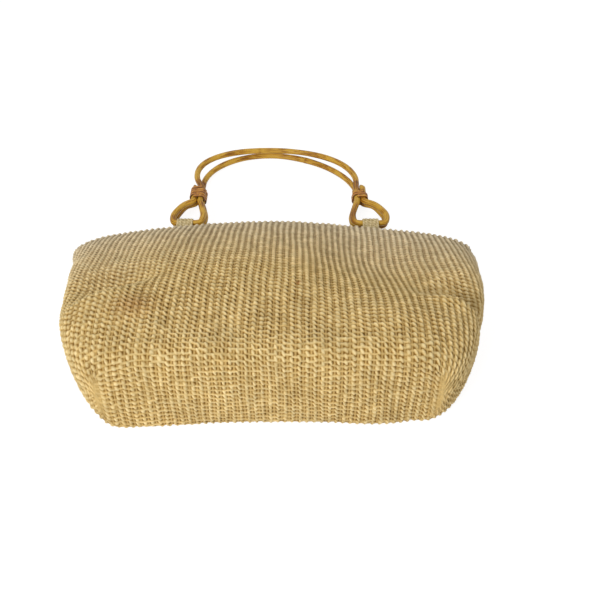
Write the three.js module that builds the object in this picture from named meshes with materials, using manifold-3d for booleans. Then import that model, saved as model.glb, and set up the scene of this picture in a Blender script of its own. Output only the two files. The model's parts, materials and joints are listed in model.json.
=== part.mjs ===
// Woven jute handbag with two bent cane handles, lying on its back panel.
// Millimetres, +Z up. The base of the bag faces -Y, the mouth and the handles lie towards +Y.
import * as THREE from 'three';
import Module from 'manifold-3d';
import { mergeVertices } from 'three/addons/utils/BufferGeometryUtils.js';

const wasm = await Module();
wasm.setup();

// Bag body
const BAG_LENGTH = 256;         // base to mouth, along Y
const BASE_WIDTH = 300;         // across the base, between the boxed corners
const MOUTH_WIDTH = 424;        // across the mouth, flat
const FLARE_LENGTH = 76;        // how soon the sides spread from the base width to the mouth width
const BASE_DEPTH = 89;          // front to back at the base
const MOUTH_RISE = 34;          // height of the front mouth edge above the back panel
const BACK_BOW = 14;            // how much further the back mouth edge reaches in the middle
const CORNER_SAG = 6;           // how much shorter both panels are towards the mouth corners
const CORNER_ROUND = 10;        // how much shorter again at the rounded corners themselves
const CORNER_POWER = 16;        // how close to the corner that comes in
const FLAT_RUN = 78;            // stretch of the front beside the base that stays level
const FALL_POWER = 1.85;        // how the front falls from there to the mouth
const SEAM_BASE = 42;           // height of the side seam at the base
const SEAM_MOUTH = 11;          // height of the side seam at the mouth
const SEAM_POWER = 1.2;         // how the side seam comes down
const BASE_ROUND = 14;          // width of the round between the flat back and the seam at the base
const SIDE_ROUND = 34;          // the same at the mouth
const FOLD_DEPTH = 9;           // depth of the fold between the base and the panels
const FOLD_FRONT = 13;          // height of the fold at the front panel
const FOLD_BACK = 6;            // height of the fold at the back panel
const FOLD_END = 6;             // width of the fold at the ends of the base
const SQUARE_BASE = 4.5;        // squareness of the front's section at the base
const SQUARE_MOUTH = 1.7;       // squareness of the front's section at the mouth
const MOUTH_EASE = 0.8;         // how the front's section meets the seam at the mouth
const EASE_POWER = 4;           // how late along the bag that comes in

// Slack of the front panel: each swell or sag has its place, its reach and its height
const SWELLS = [
  { x: -135, y: 62, reachX: 50, reachY: 36, height: 6 },
  { x: -160, y: 112, reachX: 46, reachY: 28, height: -20 },
  { x: 112, y: 40, reachX: 56, reachY: 36, height: 7 },
  { x: 160, y: 110, reachX: 40, reachY: 24, height: -16 },
  { x: 110, y: 158, reachX: 66, reachY: 68, height: -24 },
];

// Places where a side stands out or in: which side, where along the bag, its reach and how far out
const PULLS = [
  { sign: -1, y: 242, reach: 32, out: 8 },
  { sign: -1, y: 130, reach: 50, out: -2 },
  { sign: 1, y: 90, reach: 50, out: -2.5 },
];

// Layers, each with a gap to the next
const CLOTH = 2.8;              // jute cloth
const SEAT = 0.3;               // gap between seated pieces
const SLACK = 0.8;              // gap of the layers that hang loose inside
const TAPE = 1.0;               // seam tape
const TAPE_WIDTH = 14;
const FACING = 1.8;             // mouth facing
const FACING_DEPTH = 30;
const LINING = 0.8;
const BOARD = 2.5;              // base board
const LINING_CORNER = 7;        // how far the lining's floor stays inside the base

// Cane handles
const CANE = 7.2;               // cane diameter
const FRONT_LENGTH = 164;       // loop bar to the top of the arch, between centre lines
const BACK_LENGTH = 157;
const ARCH_LEAN = -14;          // sideways lean of the arch's top
const SPREAD = 93;              // half the distance between the legs at the lacings
const FRONT_ARCH = 96;          // half the width of the arch
const BACK_ARCH = 92;
const FRONT_RISE = 68;          // springing of the arch to its top
const BACK_RISE = 83;
const FRONT_SQUARE = 2.2;       // squareness of the arch
const BACK_SQUARE = 1.9;
const LOOP_INNER = 7;           // how far the loop's inner leg stands inside the arch leg
const LOOP_OUTER = 27;          // how far the loop's outer side stands outside it
const LOOP_SHOULDER = 15;       // height of the loop's widest place above the bar
const LOOP_WAIST = 0.5;         // share of the way in that its sides have come half-way up
const LOOP_ROUND = 7;           // round between the bar and the loop's sides
const CANE_GAP = 0.5;           // between the arch leg and the cane's end beside it
const BAR_EASE = 1.5;           // easing from the bar into its rounds
const ARCH_POINTS = 6;          // points on each half of the arch
const STUB = 6;                 // cane end above the lacing
const STUB_SLANT = 40;          // slant of the cut cane end, degrees

// Leather lacings
const LACE_START = 50;          // first turn above the bar
const LEFT_TURNS = 4;
const RIGHT_TURNS = 2;
const LACE_PITCH = 4.7;
const LACE_WIDTH = 4.0;
const LACE_THICK = 1.5;
const LACE_FLAT = 0.7;          // share of the thong's width that is flat
const LACE_STEPS = 24;          // steps in a turn

// Tabs and where the handles lie
const TAB_WIDTH = 18;
const TAB_OUT = 2;              // how far the tabs sit outside the middle of the loop's bar
const TAB_PLY = 1.4;
const TAB_CLEAR = 0.5;          // between the tab and the bar
const FRONT_REACH = 22;         // mouth edge to the bar
const BACK_REACH = 19;
const TAB_STEM = 20;            // length sewn inside the mouth
const FRONT_BEND = 20;          // lift of the front tabs at the mouth edge, degrees
const FRONT_TOP_HEIGHT = 16;    // centre of the arch's top above the surface that the bag lies on
const BACK_TOP_HEIGHT = 5.2;

// Snap fastener
const SNAP_DIAMETER = 15;
const SNAP_THICK = 2.2;
const STUD_DIAMETER = 6;
const STUD_HEIGHT = 1.5;
const STUD_CLEAR = 0.4;         // between the stud and its socket
const SNAP_INSET = 15;          // below the mouth edge

// Facets
const COLUMNS = 32;             // across the front panel
const ROUND_COLUMNS = 6;        // across each round of the back panel
const FLAT_COLUMNS = 4;         // across the flat of the back panel
const BODY_ROWS = 13;           // along the body
const FOLD_ROWS = 4;            // round the base fold
const FACING_ROWS = 3;
const FACING_FREE = 2;          // columns that the facing leaves free beside each seam
const DENSE = 240;              // points on a section before it is spaced evenly
const TAB_SEGMENTS = 9;         // round a tab's eye
const SNAP_SIDES = 20;
const CANE_SIDES = 8;
const CANE_STEPS = 108;

const HALF_TURN = Math.PI;
const FRONT = 1;
const BACK = -1;
const lerp = THREE.MathUtils.lerp;
const radians = THREE.MathUtils.degToRad;
const spaced = (from, to, count) =>
  Array.from({ length: count + 1 }, (_, i) => lerp(from, to, i / count));

const jute = new THREE.MeshStandardMaterial({ color: 0xc9a868, roughness: 0.95, metalness: 0 });
const tabJute = new THREE.MeshStandardMaterial({ color: 0xc4b083, roughness: 0.95, metalness: 0 });
const cane = new THREE.MeshStandardMaterial({ color: 0xb9822f, roughness: 0.45, metalness: 0 });
const leather = new THREE.MeshStandardMaterial({ color: 0x9a6129, roughness: 0.6, metalness: 0 });
const cotton = new THREE.MeshStandardMaterial({ color: 0xd8c7a0, roughness: 0.9, metalness: 0 });
const card = new THREE.MeshStandardMaterial({ color: 0x8d7a5c, roughness: 0.9, metalness: 0 });
const brass = new THREE.MeshStandardMaterial({ color: 0xb08d45, roughness: 0.35, metalness: 1 });

const bag = new THREE.Group();

function addMesh(name, geometry, material, parent = bag) {
  const mesh = new THREE.Mesh(geometry, material.clone());
  mesh.name = name;
  parent.add(mesh);
  return mesh;
}

// Solids from grids of points

function gridSolid(outer, inner) {
  // A sheet between two equal grids of points: both faces and the four edges.
  const rows = outer.length;
  const columns = outer[0].length;
  const at = (side, i, j) => side * rows * columns + i * columns + j;
  const index = [];
  const quad = (a, b, c, d) => index.push(a, b, c, a, c, d);
  for (let i = 0; i + 1 < rows; i++) {
    for (let j = 0; j + 1 < columns; j++) {
      quad(at(0, i, j), at(0, i, j + 1), at(0, i + 1, j + 1), at(0, i + 1, j));
      quad(at(1, i, j), at(1, i + 1, j), at(1, i + 1, j + 1), at(1, i, j + 1));
    }
    quad(at(0, i, 0), at(0, i + 1, 0), at(1, i + 1, 0), at(1, i, 0));
    const last = columns - 1;
    quad(at(0, i, last), at(1, i, last), at(1, i + 1, last), at(0, i + 1, last));
  }
  for (let j = 0; j + 1 < columns; j++) {
    quad(at(0, 0, j), at(1, 0, j), at(1, 0, j + 1), at(0, 0, j + 1));
    const last = rows - 1;
    quad(at(0, last, j), at(0, last, j + 1), at(1, last, j + 1), at(1, last, j));
  }
  return facingOut([...outer, ...inner].flat(), index);
}

function ringSolid(rings) {
  // A body lofted through closed rings, with a flat fan over the first and the last.
  const count = rings[0].length;
  const points = rings.flat();
  const index = [];
  for (let i = 0; i + 1 < rings.length; i++) {
    for (let j = 0; j < count; j++) {
      const a = i * count + j;
      const b = i * count + (j + 1) % count;
      index.push(a, b, b + count, a, b + count, a + count);
    }
  }
  const cap = (ring, start, flip) => {
    const centre = points.length;
    points.push(ring.reduce((sum, p) => sum.add(p), new THREE.Vector3()).divideScalar(count));
    for (let j = 0; j < count; j++) {
      const pair = [start + j, start + (j + 1) % count];
      index.push(centre, ...(flip ? pair.reverse() : pair));
    }
  };
  cap(rings[0], 0, true);
  cap(rings.at(-1), (rings.length - 1) * count, false);
  return facingOut(points, index);
}

function facingOut(points, index) {
  // An indexed geometry whose faces point outwards, going by the sign of its volume.
  let volume = 0;
  for (let k = 0; k < index.length; k += 3) {
    const [a, b, c] = [points[index[k]], points[index[k + 1]], points[index[k + 2]]];
    volume += a.dot(new THREE.Vector3().crossVectors(b, c));
  }
  if (volume < 0) {
    for (let k = 0; k < index.length; k += 3) {
      [index[k + 1], index[k + 2]] = [index[k + 2], index[k + 1]];
    }
  }
  const geometry = new THREE.BufferGeometry().setFromPoints(points);
  geometry.setIndex(index);
  geometry.computeVertexNormals();
  return geometry;
}

function toSolid(geometry) {
  const bare = geometry.clone();
  bare.deleteAttribute('normal');
  bare.deleteAttribute('uv');
  const merged = mergeVertices(bare, 1e-4);
  const vertProperties = new Float32Array(merged.attributes.position.array);
  const triVerts = new Uint32Array(merged.index.array);
  return new wasm.Manifold(new wasm.Mesh({ numProp: 3, vertProperties, triVerts }));
}

function cut(geometry, tools) {
  const solid = tools.reduce((left, tool) => left.subtract(toSolid(tool)), toSolid(geometry));
  const mesh = solid.getMesh();
  const result = new THREE.BufferGeometry();
  result.setAttribute('position', new THREE.BufferAttribute(mesh.vertProperties, 3));
  result.setIndex(new THREE.BufferAttribute(mesh.triVerts, 1));
  result.computeVertexNormals();
  return result;
}

// The bag's outer skin. A row runs across the bag at a distance along the cloth from the base edge.

const FOLD_RUN = FOLD_DEPTH * HALF_TURN / 2;
const MOUTH_RUN = FOLD_RUN + BAG_LENGTH - FOLD_DEPTH;

function rowPlace(run) {
  // Round the fold a row moves out from the base plate, then along the body.
  if (run >= FOLD_RUN) return { y: FOLD_DEPTH + run - FOLD_RUN, fold: 0 };
  const turn = run / FOLD_DEPTH;
  return { y: FOLD_DEPTH * (1 - Math.cos(turn)), fold: 1 - Math.sin(turn) };
}

function sectionAt(y, fold = 0, margin = 0) {
  // Sizes of the bag's section. The fold share takes it in towards the base plate.
  const along = THREE.MathUtils.clamp(y / BAG_LENGTH, 0, 1.2);
  const flare = (1 - Math.exp(-y / FLARE_LENGTH)) / (1 - Math.exp(-BAG_LENGTH / FLARE_LENGTH));
  const fall = Math.max(0, (y - FLAT_RUN) / (BAG_LENGTH - FLAT_RUN)) ** FALL_POWER;
  return {
    half: lerp(BASE_WIDTH, MOUTH_WIDTH, flare) / 2 - FOLD_END * fold - margin,
    top: lerp(BASE_DEPTH, MOUTH_RISE, fall) - FOLD_FRONT * fold - margin,
    bottom: FOLD_BACK * fold + margin,
    seam: lerp(SEAM_BASE, SEAM_MOUTH, along ** SEAM_POWER),
    round: lerp(BASE_ROUND, SIDE_ROUND, flare),
    square: lerp(SQUARE_BASE, SQUARE_MOUTH, along),
    ease: lerp(1 / SQUARE_BASE, MOUTH_EASE, along ** EASE_POWER),
  };
}

function swell(x, y) {
  return SWELLS.reduce((sum, s) => {
    const reach = ((x - s.x) / s.reachX) ** 2 + ((y - s.y) / s.reachY) ** 2;
    return sum + s.height * Math.exp(-reach);
  }, 0);
}

function bowed(side, x, y) {
  // Both panels are shorter at the corners, and the back reaches further than the front in the middle.
  const { half } = sectionAt(y);
  const edge = Math.min(1, Math.abs(x / half));
  const middle = (side === BACK ? BACK_BOW : 0) * (1 - edge ** 2);
  return y * (1 + (middle - CORNER_SAG * edge ** 2 - CORNER_ROUND * edge ** CORNER_POWER) / BAG_LENGTH);
}

function pulled(x, y) {
  // The sides' own outline: a point moves out with its side, the more the nearer it lies to the seam.
  const { half } = sectionAt(y);
  const out = PULLS.reduce((sum, p) =>
    (Math.sign(x) === p.sign ? sum + p.out * Math.exp(-(((y - p.y) / p.reach) ** 2)) : sum), 0);
  return x + Math.sign(x) * out * Math.min(1, Math.abs(x / half)) ** 2;
}

function frontHeight(x, y, fold = 0, margin = 0) {
  // Height of the front panel's skin: a squared arch over the side seams, with the cloth's slack.
  const { half, top, seam, square, ease } = sectionAt(y, fold, margin);
  const share = Math.max(0, 1 - Math.abs(x / half) ** square) ** ease;
  return seam + SEAT / 2 + (top - seam - SEAT / 2 + swell(x, y)) * share;
}

function frontSection(y, fold, margin) {
  // The front's outline, then its points spaced evenly along the cloth, one for each column.
  const { half, square } = sectionAt(y, fold, margin);
  const outline = spaced(HALF_TURN, 0, DENSE).map((angle) => {
    const x = half * Math.sign(Math.cos(angle)) * Math.abs(Math.cos(angle)) ** (2 / square);
    return new THREE.Vector3(pulled(x, y), bowed(FRONT, x, y), frontHeight(x, y, fold, margin));
  });
  const lengths = [0];
  for (let i = 1; i < outline.length; i++) {
    lengths.push(lengths[i - 1] + outline[i].distanceTo(outline[i - 1]));
  }
  let i = 1;
  return spaced(0, lengths.at(-1), COLUMNS).map((wanted) => {
    while (i < lengths.length - 1 && lengths[i] < wanted) i++;
    const share = (wanted - lengths[i - 1]) / (lengths[i] - lengths[i - 1]);
    return outline[i - 1].clone().lerp(outline[i], share);
  });
}

function backSection(y, fold, margin) {
  // The back lies flat and turns up to the side seam in a quarter ellipse at each side.
  const { half, bottom, seam, round } = sectionAt(y, fold, margin);
  const rise = seam - SEAT / 2 - bottom;
  const flat = half - round;
  const turn = (sign, angle) => [
    sign * (flat + round * Math.sin(angle)), bottom + rise * (1 - Math.cos(angle)),
  ];
  const angles = spaced(0, HALF_TURN / 2, ROUND_COLUMNS);
  const outline = [
    ...angles.toReversed().map((angle) => turn(-1, angle)),
    ...spaced(-flat, flat, FLAT_COLUMNS).slice(1, -1).map((x) => [x, bottom]),
    ...angles.map((angle) => turn(1, angle)),
  ];
  return outline.map(([x, z]) => new THREE.Vector3(pulled(x, y), bowed(BACK, x, y), z));
}

const sections = new Map();

function sectionPoints(side, y, fold, margin = 0) {
  const key = [side, y, fold, margin].map((v) => v.toFixed(4)).join(' ');
  if (!sections.has(key)) {
    const section = side === FRONT ? frontSection : backSection;
    sections.set(key, section(y, fold, margin));
  }
  return sections.get(key);
}

function rowOnSkin(side, run) {
  const { y, fold } = rowPlace(run);
  return sectionPoints(side, y, fold);
}

function skinRow(side, run, depth) {
  // A row of the skin, moved in by a depth along the skin's own normals.
  const step = 0.5;
  const row = rowOnSkin(side, run);
  const before = rowOnSkin(side, Math.max(0, run - step));
  const after = rowOnSkin(side, run + step);
  const last = row.length - 1;
  return row.map((point, j) => {
    const across = row[Math.min(j + 1, last)].clone().sub(row[Math.max(j - 1, 0)]);
    if (j === 0) across.set(0, 0, side);
    if (j === last) across.set(0, 0, -side);
    const along = after[j].clone().sub(before[j]);
    const outwards = new THREE.Vector3().crossVectors(across, along).normalize().multiplyScalar(side);
    return point.clone().addScaledVector(outwards, -depth);
  });
}

function sheetOnSkin(side, runs, from, to, free = 0) {
  // A layer between two depths, which may leave some columns free beside each side seam.
  const rows = (depth) => runs.map((run) => {
    const row = skinRow(side, run, depth);
    return row.slice(free, row.length - free);
  });
  return gridSolid(rows(from), rows(to));
}

// Rows where the layers start and end
const facingRun = MOUTH_RUN - FACING_DEPTH;
const foldRuns = spaced(0, FOLD_RUN, FOLD_ROWS);
const bodyRuns = spaced(FOLD_RUN, facingRun - SEAT, BODY_ROWS);
const facingRuns = spaced(facingRun, MOUTH_RUN, FACING_ROWS);
const panelRuns = [...foldRuns, ...bodyRuns.slice(1), ...facingRuns];

const FACING_FROM = CLOTH + SEAT;
const FACING_TO = FACING_FROM + FACING;
const TAPE_FROM = CLOTH + SLACK;
const LINING_FROM = TAPE_FROM + TAPE + SLACK;
const INSIDE = FACING_TO + SEAT;

function buildPanels() {
  for (const [name, side] of [['front', FRONT], ['back', BACK]]) {
    addMesh(`${name}_panel`, sheetOnSkin(side, panelRuns, 0, CLOTH), jute);
    addMesh(`${name}_facing`, sheetOnSkin(side, facingRuns, FACING_FROM, FACING_TO, FACING_FREE), jute);
  }
}

function baseOutline(margin) {
  // The base plate's outline lies inside the fold by the margin.
  const flat = (side) => sectionPoints(side, 0, 1, margin).map(({ x, z }) => new THREE.Vector2(x, z));
  return new THREE.Shape([...flat(FRONT), ...flat(BACK).reverse()]);
}

function buildBase() {
  const plate = (margin, depth, from) => {
    const geometry = new THREE.ExtrudeGeometry(baseOutline(margin), { depth, bevelEnabled: false });
    return geometry.rotateX(HALF_TURN / 2).translate(0, from + depth, 0);
  };
  addMesh('base_panel', plate(SEAT, CLOTH, 0), jute);
  addMesh('base_board', plate(SEAT, BOARD, CLOTH + SEAT), card);
}

function buildSeamTapes() {
  // A strip inside each side seam, half of it on the front panel and half on the back panel.
  const arm = (row) => {
    const share = TAPE_WIDTH / 2 / row[0].distanceTo(row[1]);
    return row[0].clone().lerp(row[1], Math.min(share, 1));
  };
  for (const name of ['left', 'right']) {
    const fromSeam = (row) => (name === 'left' ? row : row.toReversed());
    const rows = (depth) => bodyRuns.map((run) => {
      const front = fromSeam(skinRow(FRONT, run, depth));
      const back = fromSeam(skinRow(BACK, run, depth));
      return fromSeam([arm(back), front[0].clone().lerp(back[0], 0.5), arm(front)]);
    });
    addMesh(`${name}_seam_tape`, gridSolid(rows(TAPE_FROM), rows(TAPE_FROM + TAPE)), cotton);
  }
}

function buildLining() {
  // A loose cotton bag: down inside the jute, across the base board and up again inside itself.
  const runs = bodyRuns.toReversed();
  const ring = (run, depth) => [
    ...skinRow(FRONT, run, depth),
    ...skinRow(BACK, run, depth).reverse(),
  ];
  const floor = (y, margin) => [
    ...sectionPoints(FRONT, 0, 1, margin),
    ...sectionPoints(BACK, 0, 1, margin).toReversed(),
  ].map((p) => new THREE.Vector3(p.x, y, p.z));
  const under = CLOTH + SEAT + BOARD + SEAT;
  const outer = runs.map((run) => ring(run, LINING_FROM));
  const inner = runs.map((run) => ring(run, LINING_FROM + LINING)).reverse();
  outer.push(floor(under, LINING_CORNER));
  inner.unshift(floor(under + LINING, LINING_CORNER + LINING));
  addMesh('lining', cupSolid(outer, inner), cotton);
}

function cupSolid(outer, inner) {
  // Rings run down the outside and up the inside, each bottom ring closed by a fan, the rim by a band.
  // The facets' diagonals run the same way on both faces, so that the thin wall keeps its gaps.
  const count = outer[0].length;
  const half = outer.length * count;
  const points = [...outer, ...inner].flat();
  const index = [];
  const band = (first, second, rising) => {
    for (let j = 0; j < count; j++) {
      const next = (j + 1) % count;
      const [a, b, c, d] = [first + j, first + next, second + next, second + j];
      index.push(...(rising ? [a, b, d, b, c, d] : [a, b, c, a, c, d]));
    }
  };
  for (let i = 0; i + 1 < outer.length; i++) {
    band(i * count, (i + 1) * count, true);
    band(half + i * count, half + (i + 1) * count, false);
  }
  band(half + (inner.length - 1) * count, 0, false);
  for (const [ring, start, flip] of [[outer.at(-1), half - count, false], [inner[0], half, true]]) {
    const centre = points.length;
    points.push(ring.reduce((sum, p) => sum.add(p), new THREE.Vector3()).divideScalar(count));
    for (let j = 0; j < count; j++) {
      const pair = [start + j, start + (j + 1) % count];
      index.push(centre, ...(flip ? pair.reverse() : pair));
    }
  }
  return facingOut(points, index);
}

// Where the tabs hold the handles

function mouthSeat(side, x) {
  // The middle of a tab's stem at the mouth edge, and the way the cloth runs along the stem.
  // The stem clears the cloth at the tab's outer edge, where the front is lowest.
  const deep = INSIDE + TAB_PLY;
  if (side === BACK) return { y: bowed(BACK, x, BAG_LENGTH), z: deep, slope: 0 };
  const outer = x + TAB_WIDTH / 2;
  const [edgeY, edgeZ] = [bowed(FRONT, outer, BAG_LENGTH), frontHeight(outer, BAG_LENGTH)];
  const inner = BAG_LENGTH - TAB_STEM;
  const slope = Math.atan2(edgeZ - frontHeight(outer, inner), edgeY - bowed(FRONT, outer, inner));
  return { y: edgeY - deep * Math.abs(Math.sin(slope)), z: edgeZ - deep * Math.cos(slope), slope };
}

const TAB_PLACE = SPREAD + (LOOP_OUTER - LOOP_INNER) / 2 + TAB_OUT;

const handles = [
  {
    name: 'front', side: FRONT, length: FRONT_LENGTH, topZ: FRONT_TOP_HEIGHT,
    arch: { half: FRONT_ARCH, rise: FRONT_RISE, square: FRONT_SQUARE },
    reach: FRONT_REACH, bend: radians(FRONT_BEND),
  },
  {
    name: 'back', side: BACK, length: BACK_LENGTH, topZ: BACK_TOP_HEIGHT,
    arch: { half: BACK_ARCH, rise: BACK_RISE, square: BACK_SQUARE },
    reach: BACK_REACH, bend: 0,
  },
];
for (const handle of handles) {
  handle.seat = mouthSeat(handle.side, TAB_PLACE);
  const rise = handle.seat.slope + handle.bend;
  handle.barY = handle.seat.y + handle.reach * Math.cos(rise);
  handle.barZ = handle.seat.z + handle.reach * Math.sin(rise);
}

function buildTabs(handle) {
  // A keyhole profile: two plies sewn inside the mouth that part round the loop's bar.
  const { seat, reach, bend } = handle;
  const outer = CANE / 2 + TAB_CLEAR + TAB_PLY;
  const neck = Math.asin(TAB_PLY / outer);
  const stem = (out) => new THREE.Vector2(-reach, 0)
    .add(new THREE.Vector2(-TAB_STEM, out).rotateAround(new THREE.Vector2(), -bend));
  const fold = (out) => new THREE.Vector2(-reach - out * Math.tan(bend / 2), out);
  const profile = new THREE.Shape();
  profile.moveTo(...stem(-TAB_PLY));
  profile.lineTo(...fold(-TAB_PLY));
  profile.absarc(0, 0, outer, -HALF_TURN + neck, HALF_TURN - neck, false);
  profile.lineTo(...fold(TAB_PLY));
  profile.lineTo(...stem(TAB_PLY));
  const eye = new THREE.Path();
  eye.absarc(0, 0, CANE / 2 + TAB_CLEAR, 0, 2 * HALF_TURN, true);
  profile.holes.push(eye);
  const options = { depth: TAB_WIDTH, bevelEnabled: false, curveSegments: TAB_SEGMENTS };
  for (const [side, sign] of [['left', -1], ['right', 1]]) {
    const geometry = new THREE.ExtrudeGeometry(profile, options);
    geometry.translate(0, 0, -TAB_WIDTH / 2);
    geometry.applyMatrix4(new THREE.Matrix4().set(0, 0, 1, 0, 1, 0, 0, 0, 0, 1, 0, 0, 0, 0, 0, 1));
    geometry.rotateX(seat.slope + bend);
    const mesh = addMesh(`${handle.name}_${side}_tab`, geometry, tabJute);
    mesh.position.set(sign * TAB_PLACE, handle.barY, handle.barZ);
  }
}

// Handles, drawn flat: X across, Y from the loop bars to the top of the arch

const CANE_STEP = CANE + CANE_GAP;
const LACE_END = LACE_START + Math.max(LEFT_TURNS, RIGHT_TURNS) * LACE_PITCH;
const LACE_TOP = LACE_END + LACE_WIDTH;
const lean = (y, length) => ARCH_LEAN * Math.max(0, (y - LACE_TOP) / (length - LACE_TOP));

function canePath({ arch, length }) {
  // From the cut end beside one lacing, round its loop, over the arch and round the other loop.
  const inner = SPREAD - LOOP_INNER;
  const outer = SPREAD + LOOP_OUTER;
  const end = SPREAD + CANE_STEP;
  const crown = spaced(HALF_TURN / 2, 0, ARCH_POINTS).slice(1).map((angle) => [
    arch.half * Math.cos(angle) ** (2 / arch.square),
    length - arch.rise + arch.rise * Math.sin(angle) ** (2 / arch.square),
  ]);
  const bend = LOOP_ROUND * (1 - Math.SQRT1_2);
  const waist = (LACE_START + LOOP_SHOULDER) / 2;
  const leg = [
    [SPREAD, LACE_TOP],
    [SPREAD, LACE_END],
    [SPREAD, LACE_START],
    [SPREAD, LACE_START - LACE_WIDTH],
    [lerp(inner, SPREAD, LOOP_WAIST), waist],
    [inner, LOOP_SHOULDER],
    [inner + bend, bend],
    [inner + LOOP_ROUND, 0],
    [inner + LOOP_ROUND + BAR_EASE, 0],
    [outer - LOOP_ROUND - BAR_EASE, 0],
    [outer - LOOP_ROUND, 0],
    [outer - bend, bend],
    [outer, LOOP_SHOULDER],
    [lerp(outer, end, LOOP_WAIST), waist],
    [end, LACE_START - LACE_WIDTH],
    [end, LACE_START],
    [end, LACE_END],
    [end, LACE_TOP],
    [end, LACE_END + STUB + CANE],
  ];
  const side = (sign) => [
    ...crown.map(([x, y]) => new THREE.Vector3(sign * x + lean(y, length), y, 0)),
    ...leg.map(([x, y]) => new THREE.Vector3(sign * x, y, 0)),
  ];
  const top = new THREE.Vector3(ARCH_LEAN, length, 0);
  return new THREE.CatmullRomCurve3([...side(-1).reverse(), top, ...side(1)], false, 'centripetal');
}

function caneGeometry(handle) {
  const ring = spaced(0, 2 * HALF_TURN, CANE_SIDES).slice(1);
  const section = new THREE.Shape(ring.map((angle) =>
    new THREE.Vector2(Math.cos(angle), Math.sin(angle)).multiplyScalar(CANE / 2)));
  const rod = new THREE.ExtrudeGeometry(section, {
    steps: CANE_STEPS, extrudePath: canePath(handle), bevelEnabled: false,
  });
  const knives = [-1, 1].map((sign) => {
    const size = 3 * CANE;
    const knife = new THREE.BoxGeometry(size, size, size).translate(0, size / 2, 0);
    knife.rotateZ(-sign * radians(STUB_SLANT));
    const y = LACE_END + STUB;
    return knife.translate(sign * (SPREAD + CANE_STEP), y, 0);
  });
  return cut(rod, knives);
}

function laceGeometry(middle, turns) {
  // One flat thong wound round the two canes: a helix on a rounded oblong, with straight ends.
  const round = CANE / 2 + SEAT + LACE_THICK / 2;
  const straight = CANE_STEP;
  const turnLength = 2 * HALF_TURN * round + 2 * straight;
  const around = (distance) => {
    // Place and outward direction on the oblong, starting from the middle of its upper side.
    let d = THREE.MathUtils.euclideanModulo(distance + straight / 2, turnLength);
    if (d < straight) return { x: d - straight / 2, z: round, nx: 0, nz: 1 };
    d -= straight;
    const arc = HALF_TURN * round;
    if (d < arc) {
      const angle = HALF_TURN / 2 - d / round;
      const [nx, nz] = [Math.cos(angle), Math.sin(angle)];
      return { x: straight / 2 + round * nx, z: round * nz, nx, nz };
    }
    d -= arc;
    if (d < straight) return { x: straight / 2 - d, z: -round, nx: 0, nz: -1 };
    d -= straight;
    const angle = -HALF_TURN / 2 - d / round;
    const [nx, nz] = [Math.cos(angle), Math.sin(angle)];
    return { x: -straight / 2 + round * nx, z: round * nz, nx, nz };
  };
  const rings = [];
  const addRing = (distance) => {
    const y = distance / turnLength * LACE_PITCH;
    const { x, z, nx, nz } = around(distance);
    const place = (across, out) => new THREE.Vector3(x + nx * out, y + across, z + nz * out);
    const w = LACE_WIDTH / 2;
    const t = LACE_THICK / 2;
    rings.push([
      place(-w, 0), place(-w * LACE_FLAT, -t), place(w * LACE_FLAT, -t),
      place(w, 0), place(w * LACE_FLAT, t), place(-w * LACE_FLAT, t),
    ]);
  };
  addRing(-straight / 2);
  for (let i = 0; i <= turns * LACE_STEPS; i++) addRing(turnLength * i / LACE_STEPS);
  addRing(turnLength * turns + straight / 2);
  const geometry = ringSolid(rings);
  return {
    geometry: geometry.translate(middle, LACE_START, 0),
    gap: leastGap(rings),
  };
}

function leastGap(rings) {
  // Least distance between points of the thong that lie half a turn or more apart along it.
  let least = Infinity;
  for (let i = 0; i < rings.length; i++) {
    for (let j = i + LACE_STEPS / 2; j < rings.length; j++) {
      for (const p of rings[i]) {
        for (const q of rings[j]) least = Math.min(least, p.distanceTo(q));
      }
    }
  }
  return least;
}

function buildHandle(handle) {
  const group = new THREE.Group();
  group.position.set(0, handle.barY, handle.barZ);
  group.rotation.x = Math.asin((handle.topZ - handle.barZ) / handle.length);
  bag.add(group);
  addMesh(`${handle.name}_handle`, caneGeometry(handle), cane, group);
  for (const [side, sign, turns] of [['left', -1, LEFT_TURNS], ['right', 1, RIGHT_TURNS]]) {
    const { geometry, gap } = laceGeometry(sign * (SPREAD + CANE_STEP / 2), turns);
    addMesh(`${handle.name}_${side}_lacing`, geometry, leather, group);
    console.log(`${handle.name} ${side} lacing, least gap to itself: ${gap.toFixed(2)} mm`);
  }
}

function buildSnap() {
  // A press stud: the stud sits on the back facing and its socket on the front facing.
  const radius = SNAP_DIAMETER / 2;
  const stud = STUD_DIAMETER / 2;
  const hole = stud + STUD_CLEAR;
  const turned = (points) => {
    const profile = points.map(([x, y]) => new THREE.Vector2(x, y));
    return new THREE.LatheGeometry(profile, SNAP_SIDES).rotateX(HALF_TURN / 2);
  };
  const y = BAG_LENGTH - SNAP_INSET;
  const top = SNAP_THICK + STUD_HEIGHT;
  const studDisc = turned([
    [0, 0], [radius, 0], [radius, SNAP_THICK], [stud, SNAP_THICK], [stud, top], [0, top],
  ]);
  addMesh('snap_stud', studDisc, brass).position.set(0, bowed(BACK, 0, y), INSIDE);
  const floor = SNAP_THICK - STUD_HEIGHT;
  const socketDisc = turned([
    [0, 0], [radius, 0], [radius, SNAP_THICK], [hole, SNAP_THICK], [hole, floor], [0, floor],
  ]);
  const step = 1;
  const slope = Math.atan2(frontHeight(0, y + step) - frontHeight(0, y - step), 2 * step);
  const socket = addMesh('snap_socket', socketDisc, brass);
  socket.rotation.x = HALF_TURN + slope;
  socket.position.set(0, y + INSIDE * Math.sin(slope), frontHeight(0, y) - INSIDE * Math.cos(slope));
}

buildPanels();
buildBase();
buildSeamTapes();
buildLining();
handles.forEach(buildTabs);
handles.forEach(buildHandle);
buildSnap();

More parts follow.
